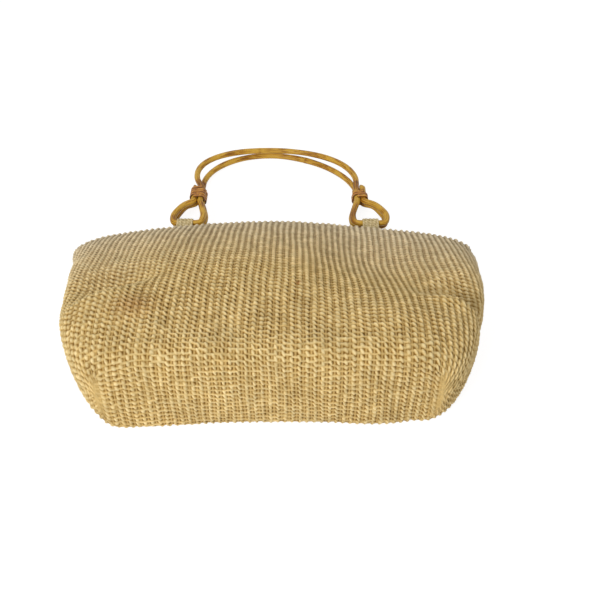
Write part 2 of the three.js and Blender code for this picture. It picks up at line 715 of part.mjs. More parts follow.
// The origin lies under the middle of the whole part, on the surface it lies on.
const box = new THREE.Box3().setFromObject(bag, true);
const middle = box.getCenter(new THREE.Vector3());
bag.position.set(-middle.x, -middle.y, -box.min.z);
for (const handle of handles) {
  const place = new THREE.Vector3(0, handle.barY, handle.barZ).add(bag.position);
  console.log(`${handle.name} handle turns about X at`, place.toArray().map((v) => v.toFixed(3)).join(' '));
}
console.log('overall size', box.getSize(new THREE.Vector3()).toArray().map((v) => v.toFixed(2)).join(' '));

export default bag;
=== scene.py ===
"""A woven jute handbag with two bent cane handles, lying on its back panel.

Sizes are millimetres in the bag's own axes: X across the mouth, Y from the base to the mouth, Z up, with
the base at Y 0. Finished meshes are metres in the model's frame.
"""
import json
import logging
import math
from dataclasses import dataclass, field
from enum import Enum

import bpy
import numpy as np
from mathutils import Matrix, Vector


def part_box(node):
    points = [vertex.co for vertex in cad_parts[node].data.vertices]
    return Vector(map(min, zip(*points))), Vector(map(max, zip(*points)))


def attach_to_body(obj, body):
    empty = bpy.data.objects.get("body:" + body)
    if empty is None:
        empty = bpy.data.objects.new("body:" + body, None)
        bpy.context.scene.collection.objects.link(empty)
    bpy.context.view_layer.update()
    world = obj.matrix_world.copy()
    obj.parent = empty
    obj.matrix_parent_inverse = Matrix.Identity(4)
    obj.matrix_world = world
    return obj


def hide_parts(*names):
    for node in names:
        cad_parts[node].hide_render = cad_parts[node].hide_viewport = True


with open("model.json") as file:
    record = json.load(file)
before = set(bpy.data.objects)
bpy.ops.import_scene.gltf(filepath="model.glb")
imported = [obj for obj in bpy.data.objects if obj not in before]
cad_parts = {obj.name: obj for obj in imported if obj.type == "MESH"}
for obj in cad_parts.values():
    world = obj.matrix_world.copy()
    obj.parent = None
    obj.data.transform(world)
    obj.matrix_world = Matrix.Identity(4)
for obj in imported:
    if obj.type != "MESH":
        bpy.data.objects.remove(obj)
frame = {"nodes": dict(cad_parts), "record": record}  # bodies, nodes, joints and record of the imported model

# short names for types
Array = np.ndarray
Piece = bpy.types.Object
Finish = bpy.types.Material
Tree = bpy.types.NodeTree
Pair = tuple[float, float]
Count = tuple[int, int]

MM = 0.001  # in metres
JOINTS = {joint["name"]: np.array(joint["pos_m"]) / MM for joint in frame["record"]["behaviour"]["joints"]}
# the bag's own zero in the model's frame: the middle line of the handles, and the base
ORIGIN = np.array([JOINTS["front_handle_swing"][0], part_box("front_panel")[0].y / MM, 0.0])
CURVE_POINTS = 33  # on each span of a curve, before they are spaced evenly
STEP_ENDS = 30.0  # beyond which a soft step is flat
LOG = logging.getLogger("bag")


class Choice(Enum):
    """A choice whose name goes into the names of pieces."""

    @property
    def word(self) -> str:
        """The name in small letters."""
        return self.name.lower()


class Side(Choice):
    """The two cloths that meet at the side seams."""

    FRONT = 1
    BACK = -1


class Hand(Choice):
    """The two ends of the bag, seen from the camera."""

    LEFT = -1
    RIGHT = 1


# Small tools for arrays and meshes


def lerp(start: float, end: float, share: Array | float) -> Array | float:
    """Go from start to end by a share of the way."""
    return start + (end - start) * share


def unit(vectors: Array) -> Array:
    """Scale vectors on the last axis to length 1."""
    return vectors / np.maximum(np.linalg.norm(vectors, axis=-1, keepdims=True), 1e-9)


def path_lengths(points: Array) -> Array:
    """Distance of each point from the first one along a line of points, or along each of several lines.

    Args:
        points: samples by axes, or rows by samples by axes.

    Returns:
        The distances, in the same layout without the axes.
    """
    spans = np.linalg.norm(np.diff(points, axis=-2), axis=-1)
    start = np.zeros((*spans.shape[:-1], 1))
    return np.concatenate([start, np.cumsum(spans, axis=-1)], axis=-1)


def interpolate_rows(wanted: Array, known: Array, points: Array) -> Array:
    """Read each row's points at the wanted places.

    Args:
        wanted: places, rows by columns.
        known: rising places at which the points are known, rows by samples.
        points: the points there, rows by samples by 3.

    Returns:
        The points at the wanted places, rows by columns by 3.
    """
    axes = np.moveaxis(points, -1, 0)
    read = [np.stack([np.interp(w, k, v) for w, k, v in zip(wanted, known, axis)]) for axis in axes]
    return np.stack(read, axis=-1)


def grid_normals(points: Array) -> Array:
    """Unit normals of a grid of points: the cross product of its two directions, column by row.

    Args:
        points: rows by columns by 3.

    Returns:
        The normals, in the same layout.
    """
    across = np.gradient(points, axis=1)
    along = np.gradient(points, axis=0)
    return unit(np.cross(across, along))


def grid_quads(index: Array) -> Array:
    """Four-sided faces of a grid of vertex numbers, one for each cell."""
    return np.stack([index[:-1, :-1], index[:-1, 1:], index[1:, 1:], index[1:, :-1]], -1).reshape(-1, 4)


def edge_faces(fine: Array, coarse: Array, step: int) -> Array:
    """Triangles between a fine edge and a coarse edge.

    Each fine span goes to the nearer coarse point, and each coarse span to the fine point in its middle.

    Args:
        fine: vertex numbers along the fine edge.
        coarse: vertex numbers along the coarse edge.
        step: fine spans in a coarse span.

    Returns:
        Faces, one row of vertex numbers for each.
    """
    half = step // 2
    nearer = (np.arange(len(fine) - 1) + step - half) // step
    middle = fine[half::step][:len(coarse) - 1]
    on_fine = np.stack([fine[:-1], fine[1:], coarse[nearer]], axis=1)
    return np.concatenate([on_fine, np.stack([middle, coarse[1:], coarse[:-1]], axis=1)])


@dataclass
class Surface:
    """Points, faces and per-point values of one piece, in millimetres."""

    points: Array
    faces: list[Array]
    uv: Array | None = None
    values: dict[str, Array] = field(default_factory=dict)

    def volume(self) -> float:
        """Signed volume, from the fans of all faces: positive where they point outwards."""
        total = 0.0
        middle = self.points.mean(0)
        for faces in self.faces:
            corners = self.points[faces] - middle
            for k in range(1, faces.shape[1] - 1):
                a, b, c = corners[:, 0], corners[:, k], corners[:, k + 1]
                total += float(np.einsum("ij,ij->", a, np.cross(b, c)))
        return total / 6

    def outward(self) -> "Surface":
        """Turn all faces over if the closed surface is inside out."""
        if self.volume() < 0:
            self.faces = [faces[:, ::-1] for faces in self.faces]
        return self

    def joined(self, other: "Surface") -> "Surface":
        """Put another surface into this one, with its own points.

        Args:
            other: a surface with the same kinds of values.

        Returns:
            The joint surface.
        """
        faces = self.faces + [f + len(self.points) for f in other.faces]
        uv = None if self.uv is None else np.concatenate([self.uv, other.uv])
        values = {k: np.concatenate([v, other.values[k]]) for k, v in self.values.items()}
        return Surface(np.concatenate([self.points, other.points]), faces, uv, values)

    def to_object(self, name: str, material: Finish) -> Piece:
        """Make a Blender object of the surface, smooth, in metres in the model's frame.

        Args:
            name: the piece's name.
            material: its only material.

        Returns:
            The object, at the origin.
        """
        mesh = bpy.data.meshes.new(name)
        loops = np.concatenate([f.ravel() for f in self.faces]).astype(np.int32)
        sizes = np.concatenate([np.full(len(f), f.shape[1]) for f in self.faces])
        starts = np.concatenate([[0], np.cumsum(sizes)[:-1]]).astype(np.int32)
        mesh.vertices.add(len(self.points))
        mesh.vertices.foreach_set("co", ((self.points + ORIGIN) * MM).astype(np.float32).ravel())
        mesh.loops.add(len(loops))
        mesh.loops.foreach_set("vertex_index", loops)
        mesh.polygons.add(len(starts))
        mesh.polygons.foreach_set("loop_start", starts)
        mesh.polygons.foreach_set("use_smooth", np.ones(len(starts), dtype=bool))
        if self.uv is not None:
            layer = mesh.uv_layers.new(name="cloth")
            layer.data.foreach_set("uv", self.uv[loops].astype(np.float32).ravel())
        for key, value in self.values.items():
            mesh.attributes.new(key, "FLOAT", "POINT").data.foreach_set("value", value.astype(np.float32))
        mesh.update(calc_edges=True)
        mesh.validate()
        mesh.materials.append(material)
        made = bpy.data.objects.new(name, mesh)
        bpy.context.scene.collection.objects.link(made)
        return made


def closed_sheet(outer: Array, inner: Array, step: Count, **extras: Array) -> Surface:
    """Close a fine outer grid with a coarser inner grid behind it.

    Args:
        outer: fine grid, rows by columns by 3.
        inner: coarse grid, one point for each step[0] rows and step[1] columns of the outer one.
        step: fine rows and fine columns in a coarse one.
        **extras: `uv` and named values on the outer grid, which the inner grid takes at its own places.

    Returns:
        The closed surface, its faces outwards.
    """
    fine = np.arange(outer.shape[0] * outer.shape[1]).reshape(outer.shape[:2])
    coarse = fine.size + np.arange(inner.shape[0] * inner.shape[1]).reshape(inner.shape[:2])
    faces = [
        grid_quads(fine),
        grid_quads(coarse)[:, ::-1],
        edge_faces(fine[0, ::-1], coarse[0, ::-1], step[1]),
        edge_faces(fine[-1], coarse[-1], step[1]),
        edge_faces(fine[:, 0], coarse[:, 0], step[0]),
        edge_faces(fine[::-1, -1], coarse[::-1, -1], step[0]),
    ]
    points = np.concatenate([outer.reshape(-1, 3), inner.reshape(-1, 3)])
    values = {}
    for key, value in extras.items():
        behind = value[:: step[0], :: step[1]]
        flat = [part.reshape(-1, *value.shape[2:]) for part in (value, behind)]
        values[key] = np.concatenate(flat)
    uv = values.pop("uv", None)
    return Surface(points, faces, uv, values).outward()


def tube(rings: Array, **extras: Array) -> Surface:
    """Loft a closed tube through rings of points, with a flat face over each end.

    Args:
        rings: steps by points round the ring by 3.
        **extras: `uv` and named values in the same layout.

    Returns:
        The closed surface, its faces outwards.
    """
    steps, sides = rings.shape[:2]
    index = np.arange(steps * sides).reshape(steps, sides)
    wrapped = np.concatenate([index, index[:, :1]], axis=1)
    values = {k: v.reshape(-1, *v.shape[2:]) for k, v in extras.items()}
    uv = values.pop("uv", None)
    faces = [grid_quads(wrapped), index[:1, ::-1], index[-1:]]
    return Surface(rings.reshape(-1, 3), faces, uv, values).outward()


def smooth_path(corners: Array, spacing: float) -> Array:
    """A centripetal Catmull-Rom curve through corners, with points spaced evenly along it.

    Args:
        corners: the points it passes through.
        spacing: distance between the points returned.

    Returns:
        Points along the curve, the first and the last corner among them.
    """
    before = 2 * corners[0] - corners[1]
    after = 2 * corners[-1] - corners[-2]
    p = np.concatenate([[before], corners, [after]])
    knots = np.sqrt(np.linalg.norm(np.diff(p, axis=0), axis=1))[:, None]
    behind, ahead = knots[:-1], knots[1:]
    pull = (p[1:-1] - p[:-2]) / behind - (p[2:] - p[:-2]) / (behind + ahead) + (p[2:] - p[1:-1]) / ahead
    start = (pull[:-1] * knots[1:-1])[:, None]
    end = (pull[1:] * knots[1:-1])[:, None]
    s = np.linspace(0, 1, CURVE_POINTS)[None, :-1, None]
    a, b = corners[:-1, None], corners[1:, None]
    dense = (
        (2 * s**3 - 3 * s**2 + 1) * a + (s**3 - 2 * s**2 + s) * start
        + (3 * s**2 - 2 * s**3) * b + (s**3 - s**2) * end
    ).reshape(-1, corners.shape[1])
    dense = np.concatenate([dense, corners[-1:]])
    length = path_lengths(dense)
    wanted = np.linspace(0, length[-1], max(2, round(length[-1] / spacing)) + 1)
    return np.stack([np.interp(wanted, length, axis) for axis in dense.T], axis=1)


def attach(piece: Piece, body: str, node: str) -> None:
    """Let a piece move with a body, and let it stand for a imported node."""
    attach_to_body(piece, body)
    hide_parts(node)


# Materials


def linear(hex_colour: str) -> tuple[float, float, float, float]:
    """Turn an sRGB hex colour into linear light, with full cover."""
    parts = [int(hex_colour[i:i + 2], 16) / 255 for i in (1, 3, 5)]
    light = [c / 12.92 if c <= 0.04045 else ((c + 0.055) / 1.055) ** 2.4 for c in parts]
    return (*light, 1.0)


def add_node(
    tree: Tree, kind: str, inputs: dict[str | int, object] | None = None,
    stops: list[tuple[float, str]] | None = None, **settings: object,
) -> bpy.types.Node:
    """Add a shader node with its settings, values and links.

    Args:
        tree: the node tree.
        kind: the node's type name.
        inputs: for each input, a value to set, a socket to link, or a node whose first output is linked.
        stops: places and hex colours of a colour ramp.
        **settings: properties of the node.

    Returns:
        The new node.
    """
    made = tree.nodes.new(kind)
    for key, value in settings.items():
        setattr(made, key, value)
    for key, value in (inputs or {}).items():
        if isinstance(value, bpy.types.Node):
            value = value.outputs[0]
        if isinstance(value, bpy.types.NodeSocket):
            tree.links.new(value, made.inputs[key])
        else:
            made.inputs[key].default_value = value
    for i, (place, colour) in enumerate(stops or []):
        elements = made.color_ramp.elements
        stop = elements[i] if i < 2 else elements.new(place)
        stop.position = place
        stop.color = linear(colour)
    return made


def new_material(name: str) -> tuple[Finish, Tree]:
    """A named material with an empty node tree."""
    material = bpy.data.materials.new(name)
    material.use_nodes = True
    material.node_tree.nodes.clear()
    return material, material.node_tree


def close_material(tree: Tree, **inputs: object) -> None:
    """End a tree in a principled surface with these inputs, their spaces written as underscores."""
    named = {key.replace("_", " "): value for key, value in inputs.items()}
    surface = add_node(tree, "ShaderNodeBsdfPrincipled", named)
    add_node(tree, "ShaderNodeOutputMaterial", {"Surface": surface})


@dataclass(frozen=True)
class WovenJute:
    """Coarse jute sacking, spun from raw fibre and woven: matt and straw, with painted sheen and painted
    shade.

    Painted sheen greys it towards the mouth, and painted shade darkens the weave's holes. The eye gets a pale
    fibrous thread with a dull sheen, threads that differ in tone, and brown painted shade between them; the
    most open crowns are painted lighter.
    """

    name: str = "woven_jute"
    # the four colours below go by openness to the light: painted shade up to the thread, painted light on the
    # crowns
    pits: str = "#54390F"
    shade: str = "#957136"
    thread: str = "#C9AA6C"
    crown: str = "#EAD39C"
    sheen: str = "#F3E6C8"
    stained: str = "#C79A72"  # what a stain leaves of the colour
    fibre: float = 1.1  # mm between fibres, drawn coarser than real so that it shows
    patch: float = 28.0  # mm across a patch of darker or paler cloth
    greyest: float = 0.68  # share of the colour's strength that the painted sheen leaves at the mouth

    def build(self) -> Finish:
        """Colour by the thread's openness, as painted shade and light, and by its tone, with painted sheen
        towards the mouth, fibre streaks along it and a soft sheen.
        """
        material, tree = new_material(self.name)
        relief, tone, bleach, stain = (
            add_node(tree, "ShaderNodeAttribute", attribute_name=name).outputs["Fac"]
            for name in ("relief", "tone", "bleach", "stain")
        )
        place = add_node(tree, "ShaderNodeTexCoord").outputs["Object"]
        cloth = add_node(tree, "ShaderNodeUVMap", uv_map="cloth")
        # painted shade and light: the less open to the light, the darker the thread, darkest in the holes;
        # the most open crowns are painted lighter
        depth = add_node(
            tree, "ShaderNodeValToRGB", {"Fac": relief},
            stops=[(0.05, self.pits), (1.0, self.crown), (0.32, self.shade), (0.6, self.thread)],
        )
        patches = add_node(
            tree, "ShaderNodeTexNoise",
            {"Vector": place, "Scale": 1 / (self.patch * MM), "Detail": 3.0, "Roughness": 0.65},
        )
        drawn = add_node(tree, "ShaderNodeMapping", {"Vector": cloth, "Scale": (0.5, 1.0, 1.0)})
        streaks = add_node(
            tree, "ShaderNodeTexNoise",
            {"Vector": drawn, "Scale": 1 / self.fibre, "Detail": 3.0, "Roughness": 0.75},
        )
        toned = add_node(tree, "ShaderNodeMath", {0: streaks, 1: 2.0, 2: tone}, operation="MULTIPLY_ADD")
        mixed = add_node(tree, "ShaderNodeMath", {0: toned, 1: patches}, operation="ADD")
        bright = add_node(
            tree, "ShaderNodeMapRange",
            {"Value": mixed, "From Min": 1.1, "From Max": 2.9, "To Min": 0.66, "To Max": 1.34},
        )
        # painted sheen: the colour loses strength towards the mouth, down to greyest
        strong = add_node(
            tree, "ShaderNodeMapRange", {"Value": bleach, "To Min": 1.0, "To Max": self.greyest},
        )
        colour = add_node(
            tree, "ShaderNodeHueSaturation", {"Color": depth, "Value": bright, "Saturation": strong},
        )
        spoiled = add_node(
            tree, "ShaderNodeMix", {0: stain, 6: colour, 7: linear(self.stained)},
            data_type="RGBA", blend_type="MULTIPLY",
        )
        bump = add_node(tree, "ShaderNodeBump", {"Height": streaks, "Strength": 0.6, "Distance": 0.5 * MM})
        close_material(
            tree, Base_Color=spoiled.outputs[2], Roughness=0.9, Normal=bump, IOR=1.45,
            Specular_IOR_Level=0.2, Sheen_Weight=0.1, Sheen_Roughness=0.5, Sheen_Tint=linear(self.sheen),
        )
        return material


@dataclass(frozen=True)
class CottonCloth:
    """Plain cotton cloth, woven fine and unbleached: even, matt, with a thread that only just shows."""

    name: str = "unbleached_cotton"
    pale: str = "#DCCBA4"
    shade: str = "#B9A274"
    thread: float = 1.2  # mm between threads, drawn coarser than real so that it shows

    def build(self) -> Finish:
        """Two crossed sets of uneven bands, 20 in a full turn of the scale, make the weave."""
        material, tree = new_material(self.name)
        cloth = add_node(tree, "ShaderNodeUVMap", uv_map="cloth")
        across, along = (
            add_node(
                tree, "ShaderNodeTexWave",
                {"Vector": cloth, "Scale": math.tau / 20 / self.thread, "Distortion": 0.6},
                bands_direction=direction,
            ).outputs["Fac"]
            for direction in ("X", "Y")
        )
        weave = add_node(tree, "ShaderNodeMath", {0: across, 1: along}, operation="MULTIPLY")
        colour = add_node(
            tree, "ShaderNodeValToRGB", {"Fac": weave}, stops=[(0.0, self.shade), (0.7, self.pale)],
        )
        bump = add_node(tree, "ShaderNodeBump", {"Height": weave, "Strength": 0.3, "Distance": 0.2 * MM})
        close_material(
            tree, Base_Color=colour, Roughness=0.9, Normal=bump, Specular_IOR_Level=0.2,
            Sheen_Weight=0.1, Sheen_Roughness=0.5,
        )
        return material


@dataclass(frozen=True)
class GreyBoard:
    """Pressed grey board from waste fibre: matt, speckled, with no grain."""

    name: str = "pressed_board"
    pale: str = "#9B8868"
    dark: str = "#6F5F45"
    speck: float = 1.5  # mm across a speck

    def build(self) -> Finish:
        """Noise at the size of a speck colours and roughens the board."""
        material, tree = new_material(self.name)
        place = add_node(tree, "ShaderNodeTexCoord").outputs["Object"]
        specks = add_node(
            tree, "ShaderNodeTexNoise", {"Vector": place, "Scale": 1 / (self.speck * MM), "Detail": 4.0},
        )
        colour = add_node(
            tree, "ShaderNodeValToRGB", {"Fac": specks}, stops=[(0.35, self.dark), (0.65, self.pale)],
        )
        bump = add_node(tree, "ShaderNodeBump", {"Height": specks, "Strength": 0.4, "Distance": 0.2 * MM})
        close_material(tree, Base_Color=colour, Roughness=0.9, Normal=bump)
        return material


@dataclass(frozen=True)
class VarnishedCane:
    """Rattan core, steamed, bent and varnished: amber with fine dark streaks along it and a satin gloss."""

    name: str = "varnished_cane"
    dark: str = "#6E420A"
    amber: str = "#A66E14"
    pale: str = "#CDA038"
    streak: float = 1.1  # mm across a streak
    smoke: float = 34.0  # mm along a browner stretch

    def build(self) -> Finish:
        """Noise drawn out along the cane gives the streaks, long soft noise the browner stretches."""
        material, tree = new_material(self.name)
        cane = add_node(tree, "ShaderNodeUVMap", uv_map="cloth")
        fine = add_node(
            tree, "ShaderNodeMapping",
            {"Vector": cane, "Scale": (1 / self.streak, 0.05 / self.streak, 1.0)},
        )
        streaks = add_node(tree, "ShaderNodeTexNoise", {"Vector": fine, "Scale": 1.0, "Detail": 3.0})
        long = add_node(tree, "ShaderNodeMapping", {"Vector": cane, "Scale": (0.02, 1 / self.smoke, 1.0)})
        stretches = add_node(tree, "ShaderNodeTexNoise", {"Vector": long, "Scale": 1.0, "Detail": 2.0})
        joint = add_node(tree, "ShaderNodeAttribute", attribute_name="joint").outputs["Fac"]
        both = add_node(tree, "ShaderNodeMath", {0: streaks, 1: stretches}, operation="ADD")
        less = add_node(tree, "ShaderNodeMath", {0: both, 1: joint}, operation="SUBTRACT")
        colour = add_node(
            tree, "ShaderNodeValToRGB", {"Fac": less},
            stops=[(0.72, self.dark), (1.0, self.pale), (0.95, self.amber)],
        )
        bump = add_node(
            tree, "ShaderNodeBump", {"Height": streaks, "Strength": 0.25, "Distance": 0.25 * MM},
        )
        close_material(
            tree, Base_Color=colour, Roughness=0.5, Normal=bump, IOR=1.45, Specular_IOR_Level=0.3,
            Coat_Weight=0.08, Coat_Roughness=0.3,
        )
        return material


@dataclass(frozen=True)
class LacingLeather:
    """Vegetable-tanned lace leather, cut in a thong and waxed: golden brown, darker towards its edges."""

    name: str = "waxed_lace_leather"
    dark: str = "#5C3408"
    brown: str = "#B27018"
    pale: str = "#D29A36"
    grain: float = 0.9  # mm across a pore of the grain
    wear: float = 5.4  # mm across a worn place

    def build(self) -> Finish:
        """Pores by a cell pattern, worn places by noise, dark edges by the thong's own value."""
        material, tree = new_material(self.name)
        place = add_node(tree, "ShaderNodeTexCoord").outputs["Object"]
        edge = add_node(tree, "ShaderNodeAttribute", attribute_name="edge").outputs["Fac"]
        pores = add_node(tree, "ShaderNodeTexVoronoi", {"Vector": place, "Scale": 1 / (self.grain * MM)})
        wear = add_node(
            tree, "ShaderNodeTexNoise", {"Vector": place, "Scale": 1 / (self.wear * MM), "Detail": 3.0},
        )
        less = add_node(tree, "ShaderNodeMath", {0: wear, 1: edge}, operation="SUBTRACT")
        colour = add_node(
            tree, "ShaderNodeValToRGB", {"Fac": less},
            stops=[(0.1, self.dark), (0.45, self.brown), (0.7, self.pale)],
        )
        bump = add_node(tree, "ShaderNodeBump", {"Height": pores, "Strength": 0.25, "Distance": 0.15 * MM})
        close_material(tree, Base_Color=colour, Roughness=0.5, Normal=bump, IOR=1.48)
        return material


@dataclass(frozen=True)
class StampedBrass:
    """Sheet brass, stamped and lacquered: a dull yellow metal with faint brushing."""

    name: str = "stamped_brass"
    yellow: str = "#B99A55"
    dark: str = "#8E6F34"
    brush: float = 0.5  # mm between brush marks

    def build(self) -> Finish:
        """Fine noise varies the roughness and the tarnish."""
        material, tree = new_material(self.name)
        place = add_node(tree, "ShaderNodeTexCoord").outputs["Object"]
        marks = add_node(
            tree, "ShaderNodeTexNoise", {"Vector": place, "Scale": 1 / (self.brush * MM), "Detail": 3.0},
        )
        colour = add_node(
            tree, "ShaderNodeValToRGB", {"Fac": marks}, stops=[(0.3, self.dark), (0.7, self.yellow)],
        )
        rough = add_node(tree, "ShaderNodeMapRange", {"Value": marks, "To Min": 0.28, "To Max": 0.45})
        close_material(tree, Base_Color=colour, Metallic=1.0, Roughness=rough)
        return material


# The bag's cloth


@dataclass(frozen=True)
class Weave:
    """A coarse weave: knotted cords along the bag, and between them a bar of the cross thread in each row.

    Where two values are given, the first is for slack cloth, in which the cords stand up as ropes, and the
    second for stretched cloth, in which they are thin and the cross threads come forward.
    """

    rib: float = 6.28  # between cords
    row: float = 5.2  # between rows
    depth: float = 2.6  # holes to crowns
    cord: Pair = (0.37, 0.2)  # half width of a cord, share of a rib
    cord_height: Pair = (0.95, 0.8)  # share of the depth
    notch: Pair = (0.8, 0.5)  # depth of the notches between knots, share of the cord
    bar: float = 0.27  # half height of a bar, share of a row
    bar_height: Pair = (0.4, 0.65)
    # the openness pairs are painted shade: lower in slack cloth, so that its grooves are painted darker than
    # stretched cloth's
    bar_open: Pair = (0.64, 0.88)
    ground: Pair = (0.18, 0.3)  # half width of the threads behind, share of a rib
    ground_height: Pair = (0.25, 0.35)
    ground_open: Pair = (0.52, 0.64)
    # half length of a knot at the cord's middle and at its side, in rows
    knot_half: Pair = (0.46, 0.3)
    # least and most by chance, for each knot, bar or rib
    knot_slide: Pair = (0.3, 0.7)  # rows
    knot_tilt: Pair = (0.1, 0.5)
    knot_size: Pair = (0.85, 1.15)
    knot_lift: Pair = (0.9, 1.1)
    knot_light: Pair = (0.85, 1.05)
    bar_tilt: Pair = (-0.15, 0.45)
    bar_size: Pair = (0.8, 1.2)
    bar_lift: Pair = (0.75, 1.25)
    bar_light: Pair = (0.8, 1.15)
    tones: Pair = (0.25, 0.75)
    slide_run: Pair = (14.0, 30.0)  # along a rib, in a radian of its rows' slide
    slide: float = 0.22  # how far the rows of a rib slide along it, in rows
    blend: float = 6.0  # how sharply the threads meet
    table: Count = (97, 89)  # ribs and rows after which chance repeats
    seed: int = 7

    def relief(self, across: Array, along: Array, taut: Array | float = 0.0) -> tuple[Array, Array, Array]:
        """Height of the thread seen at each place, how far it lies open to the light, and its tone.

        A cord is half an ellipse across its rib, and a row of slanted lenses along it: one knot in each
        row, with a notch on each side. A bar is half an ellipse along its row, slightly tilted. The threads
        behind are a parabola across the rib. Their power mean shows. Slow waves pull all of them off their
        lines, the rows of a rib slide along it by a wave of its own, and each knot and bar has its own size
        and tilt.

        Args:
            across: distance across the cloth from its middle line.
            along: distance along the cloth from the base edge.
            taut: 0 where the cloth is slack, 1 where it is stretched.

        Returns:
            Height and openness, each from 0 in the holes to about 1, and tone from 0 to 1.
        """
        drift, shear = self.wander(across, along)
        u = (across + drift) / self.rib
        v = (along + shear) / self.row
        dice = np.random.default_rng(self.seed).random((4, *self.table))
        height, openness, tone = self.cords(u, v, dice, taut)
        rib = np.floor(u).astype(int)
        own = self.throw(dice, rib, 0 * rib)
        v += self.slide * np.sin(math.tau * own[0] + along / lerp(*self.slide_run, own[1]))
        row = np.round(v).astype(int)
        chance, tilt, tall, tint = self.throw(dice, rib, row)
        middle = u - rib - 0.5
        off = np.abs(v - row + lerp(*self.bar_tilt, tilt) * middle)
        off /= self.bar * lerp(*self.bar_size, tall)
        bar = np.sqrt(np.maximum(0, 1 - off**2))
        ground = np.maximum(0, 1 - (middle / lerp(*self.ground, taut)) ** 2)
        bar_height = lerp(*self.bar_height, taut) * lerp(*self.bar_lift, chance) * bar
        bar_open = lerp(*self.bar_open, taut) * lerp(*self.bar_light, chance) * bar
        tone = lerp(*self.tones, np.where(bar_height > height, tint, tone))
        height = self.mean(height, bar_height, lerp(*self.ground_height, taut) * ground)
        openness = self.mean(openness, bar_open, lerp(*self.ground_open, taut) * ground)
        return height, openness, tone

    @staticmethod
    def wander(across: Array, along: Array) -> tuple[Array, Array]:
        """How far slow waves, sines less than 1 mm high, pull the threads sideways and along."""
        drift = 0.5 * np.sin(along / 31 + 1.7 * np.sin(across / 57))
        drift += 0.3 * np.sin(along / 11.3 + across / 9.1)
        shear = 0.9 * np.sin(across / 41 + 0.6) + 0.5 * np.sin(across / 13.7 + along / 29)
        return drift, shear

    def throw(self, dice: Array, rib: Array, row: Array) -> Array:
        """The four throws of each place's knot or bar, from a table that repeats."""
        return dice[:, rib % self.table[0], row % self.table[1]]

    def cords(self, u: Array, v: Array, dice: Array, taut: Array | float) -> tuple[Array, Array, Array]:
        """The cords alone: lenses along a half ellipse, each with a notch at its ends.

        Args:
            u: place across the cloth, in ribs.
            v: place along the cloth, in rows.
            dice: the table of chance.
            taut: 0 where the cloth is slack, 1 where it is stretched.

        Returns:
            Height, openness and tone.
        """
        rib = np.round(u).astype(int)
        off = (u - rib) / lerp(*self.cord, taut)
        v = v + lerp(*self.knot_slide, self.throw(dice, rib, 0 * rib + 1)[2])
        row = np.round(v).astype(int)
        chance, tilt, size, tint = self.throw(dice, rib, row)
        half = lerp(*self.knot_half, np.minimum(1, off**2))
        along = (v - row + lerp(*self.knot_tilt, tilt) * off) / half
        knot = np.sqrt(np.maximum(0, 1 - along**2))
        off /= lerp(*self.knot_size, size)
        tied = 1 - lerp(*self.notch, taut) * (1 - knot)
        height = np.sqrt(np.maximum(0, 1 - off**2)) * tied
        openness = np.sqrt(np.maximum(0, 1 - off**4)) * tied
        lift = lerp(*self.cord_height, taut) * lerp(*self.knot_lift, chance)
        return lift * height, lerp(*self.knot_light, chance) * openness, tint

    def mean(self, *heights: Array) -> Array:
        """Power mean of several heights, without its division: close to the highest, with soft joins."""
        return sum(height**self.blend for height in heights) ** (1 / self.blend)


@dataclass(frozen=True)
class Bell:
    """A soft bell over the cloth, where it stands up, sags or is stained."""

    x: float
    y: float
    reach_x: float
    reach_y: float
    height: float

    def at(self, x: Array, y: Array) -> Array:
        """Height of the bell at each place."""
        off = ((x - self.x) / self.reach_x) ** 2
        return self.height * np.exp(-off - ((y - self.y) / self.reach_y) ** 2)


@dataclass(frozen=True)
class Hump:
    """A soft bell over X alone."""

    x: float
    reach: float
    height: float

    def at(self, x: Array) -> Array:
        """Height of the bell at each X."""
        return self.height * np.exp(-(((x - self.x) / self.reach) ** 2))


@dataclass(frozen=True)
class Crease:
    """A sharp fold in the slack cloth."""

    x: float
    y: float
    angle: float  # degrees from X
    length: float  # reach along the fold
    width: float  # reach across it
    height: float

    def at(self, x: Array, y: Array) -> Array:
        """A crest on the base's side, a hollow behind it: a bell's slope, under a bell along the fold."""
        c, s = math.cos(math.radians(self.angle)), math.sin(math.radians(self.angle))
        along = ((x - self.x) * c + (y - self.y) * s) / self.length
        off = ((x - self.x) * s - (y - self.y) * c) / self.width
        return self.height * off * np.exp(0.5 - off**2 / 2 - along**2)


@dataclass(frozen=True)
class Pull:
    """A place where a side of the bag stands out or in."""

    hand: Hand
    y: float
    reach: float
    out: float

    def at(self, x: Array, y: Array) -> Array:
        """A bell along the side, on its own half of the bag only."""
        out = np.where(np.sign(x) == self.hand.value, self.out, 0.0)
        return out * np.exp(-(((y - self.y) / self.reach) ** 2))


@dataclass(frozen=True)
class Spread:
    """Columns across a panel: even over the middle, and stretched from there to each seam."""

    middle: float  # even as far as this from the middle line
    even: int  # columns from the middle line to there
    outer: int  # columns from there to the seam
    inset: float = 0.0  # left free beside each seam

    def columns(self, left: Array, right: Array) -> Array:
        """Distance of each column across the cloth, for each row.

        Args:
            left: the left seam of each row, below 0.
            right: the right seam of each row.

        Returns:
            Rows by columns.
        """
        even = np.linspace(-self.middle, self.middle, 2 * self.even + 1)
        share = np.arange(1, self.outer + 1) / self.outer
        to_right = self.middle + (right - self.inset - self.middle)[:, None] * share
        to_left = -self.middle + (left + self.inset + self.middle)[:, None] * share
        middle = np.broadcast_to(even, (len(right), even.size))
        return np.concatenate([to_left[:, ::-1], middle, to_right], axis=1)


@dataclass(frozen=True)
class Section:
    """Sizes of the bag's cross-section for each row."""

    half: Array  # half the width
    top: Array  # height of the front
    bottom: Array  # height of the back
    seam: Array  # height of the side seams
    round: Array  # radius of the back's sides
    square: Array  # power of the front's superellipse
    ease: Array  # power of its height


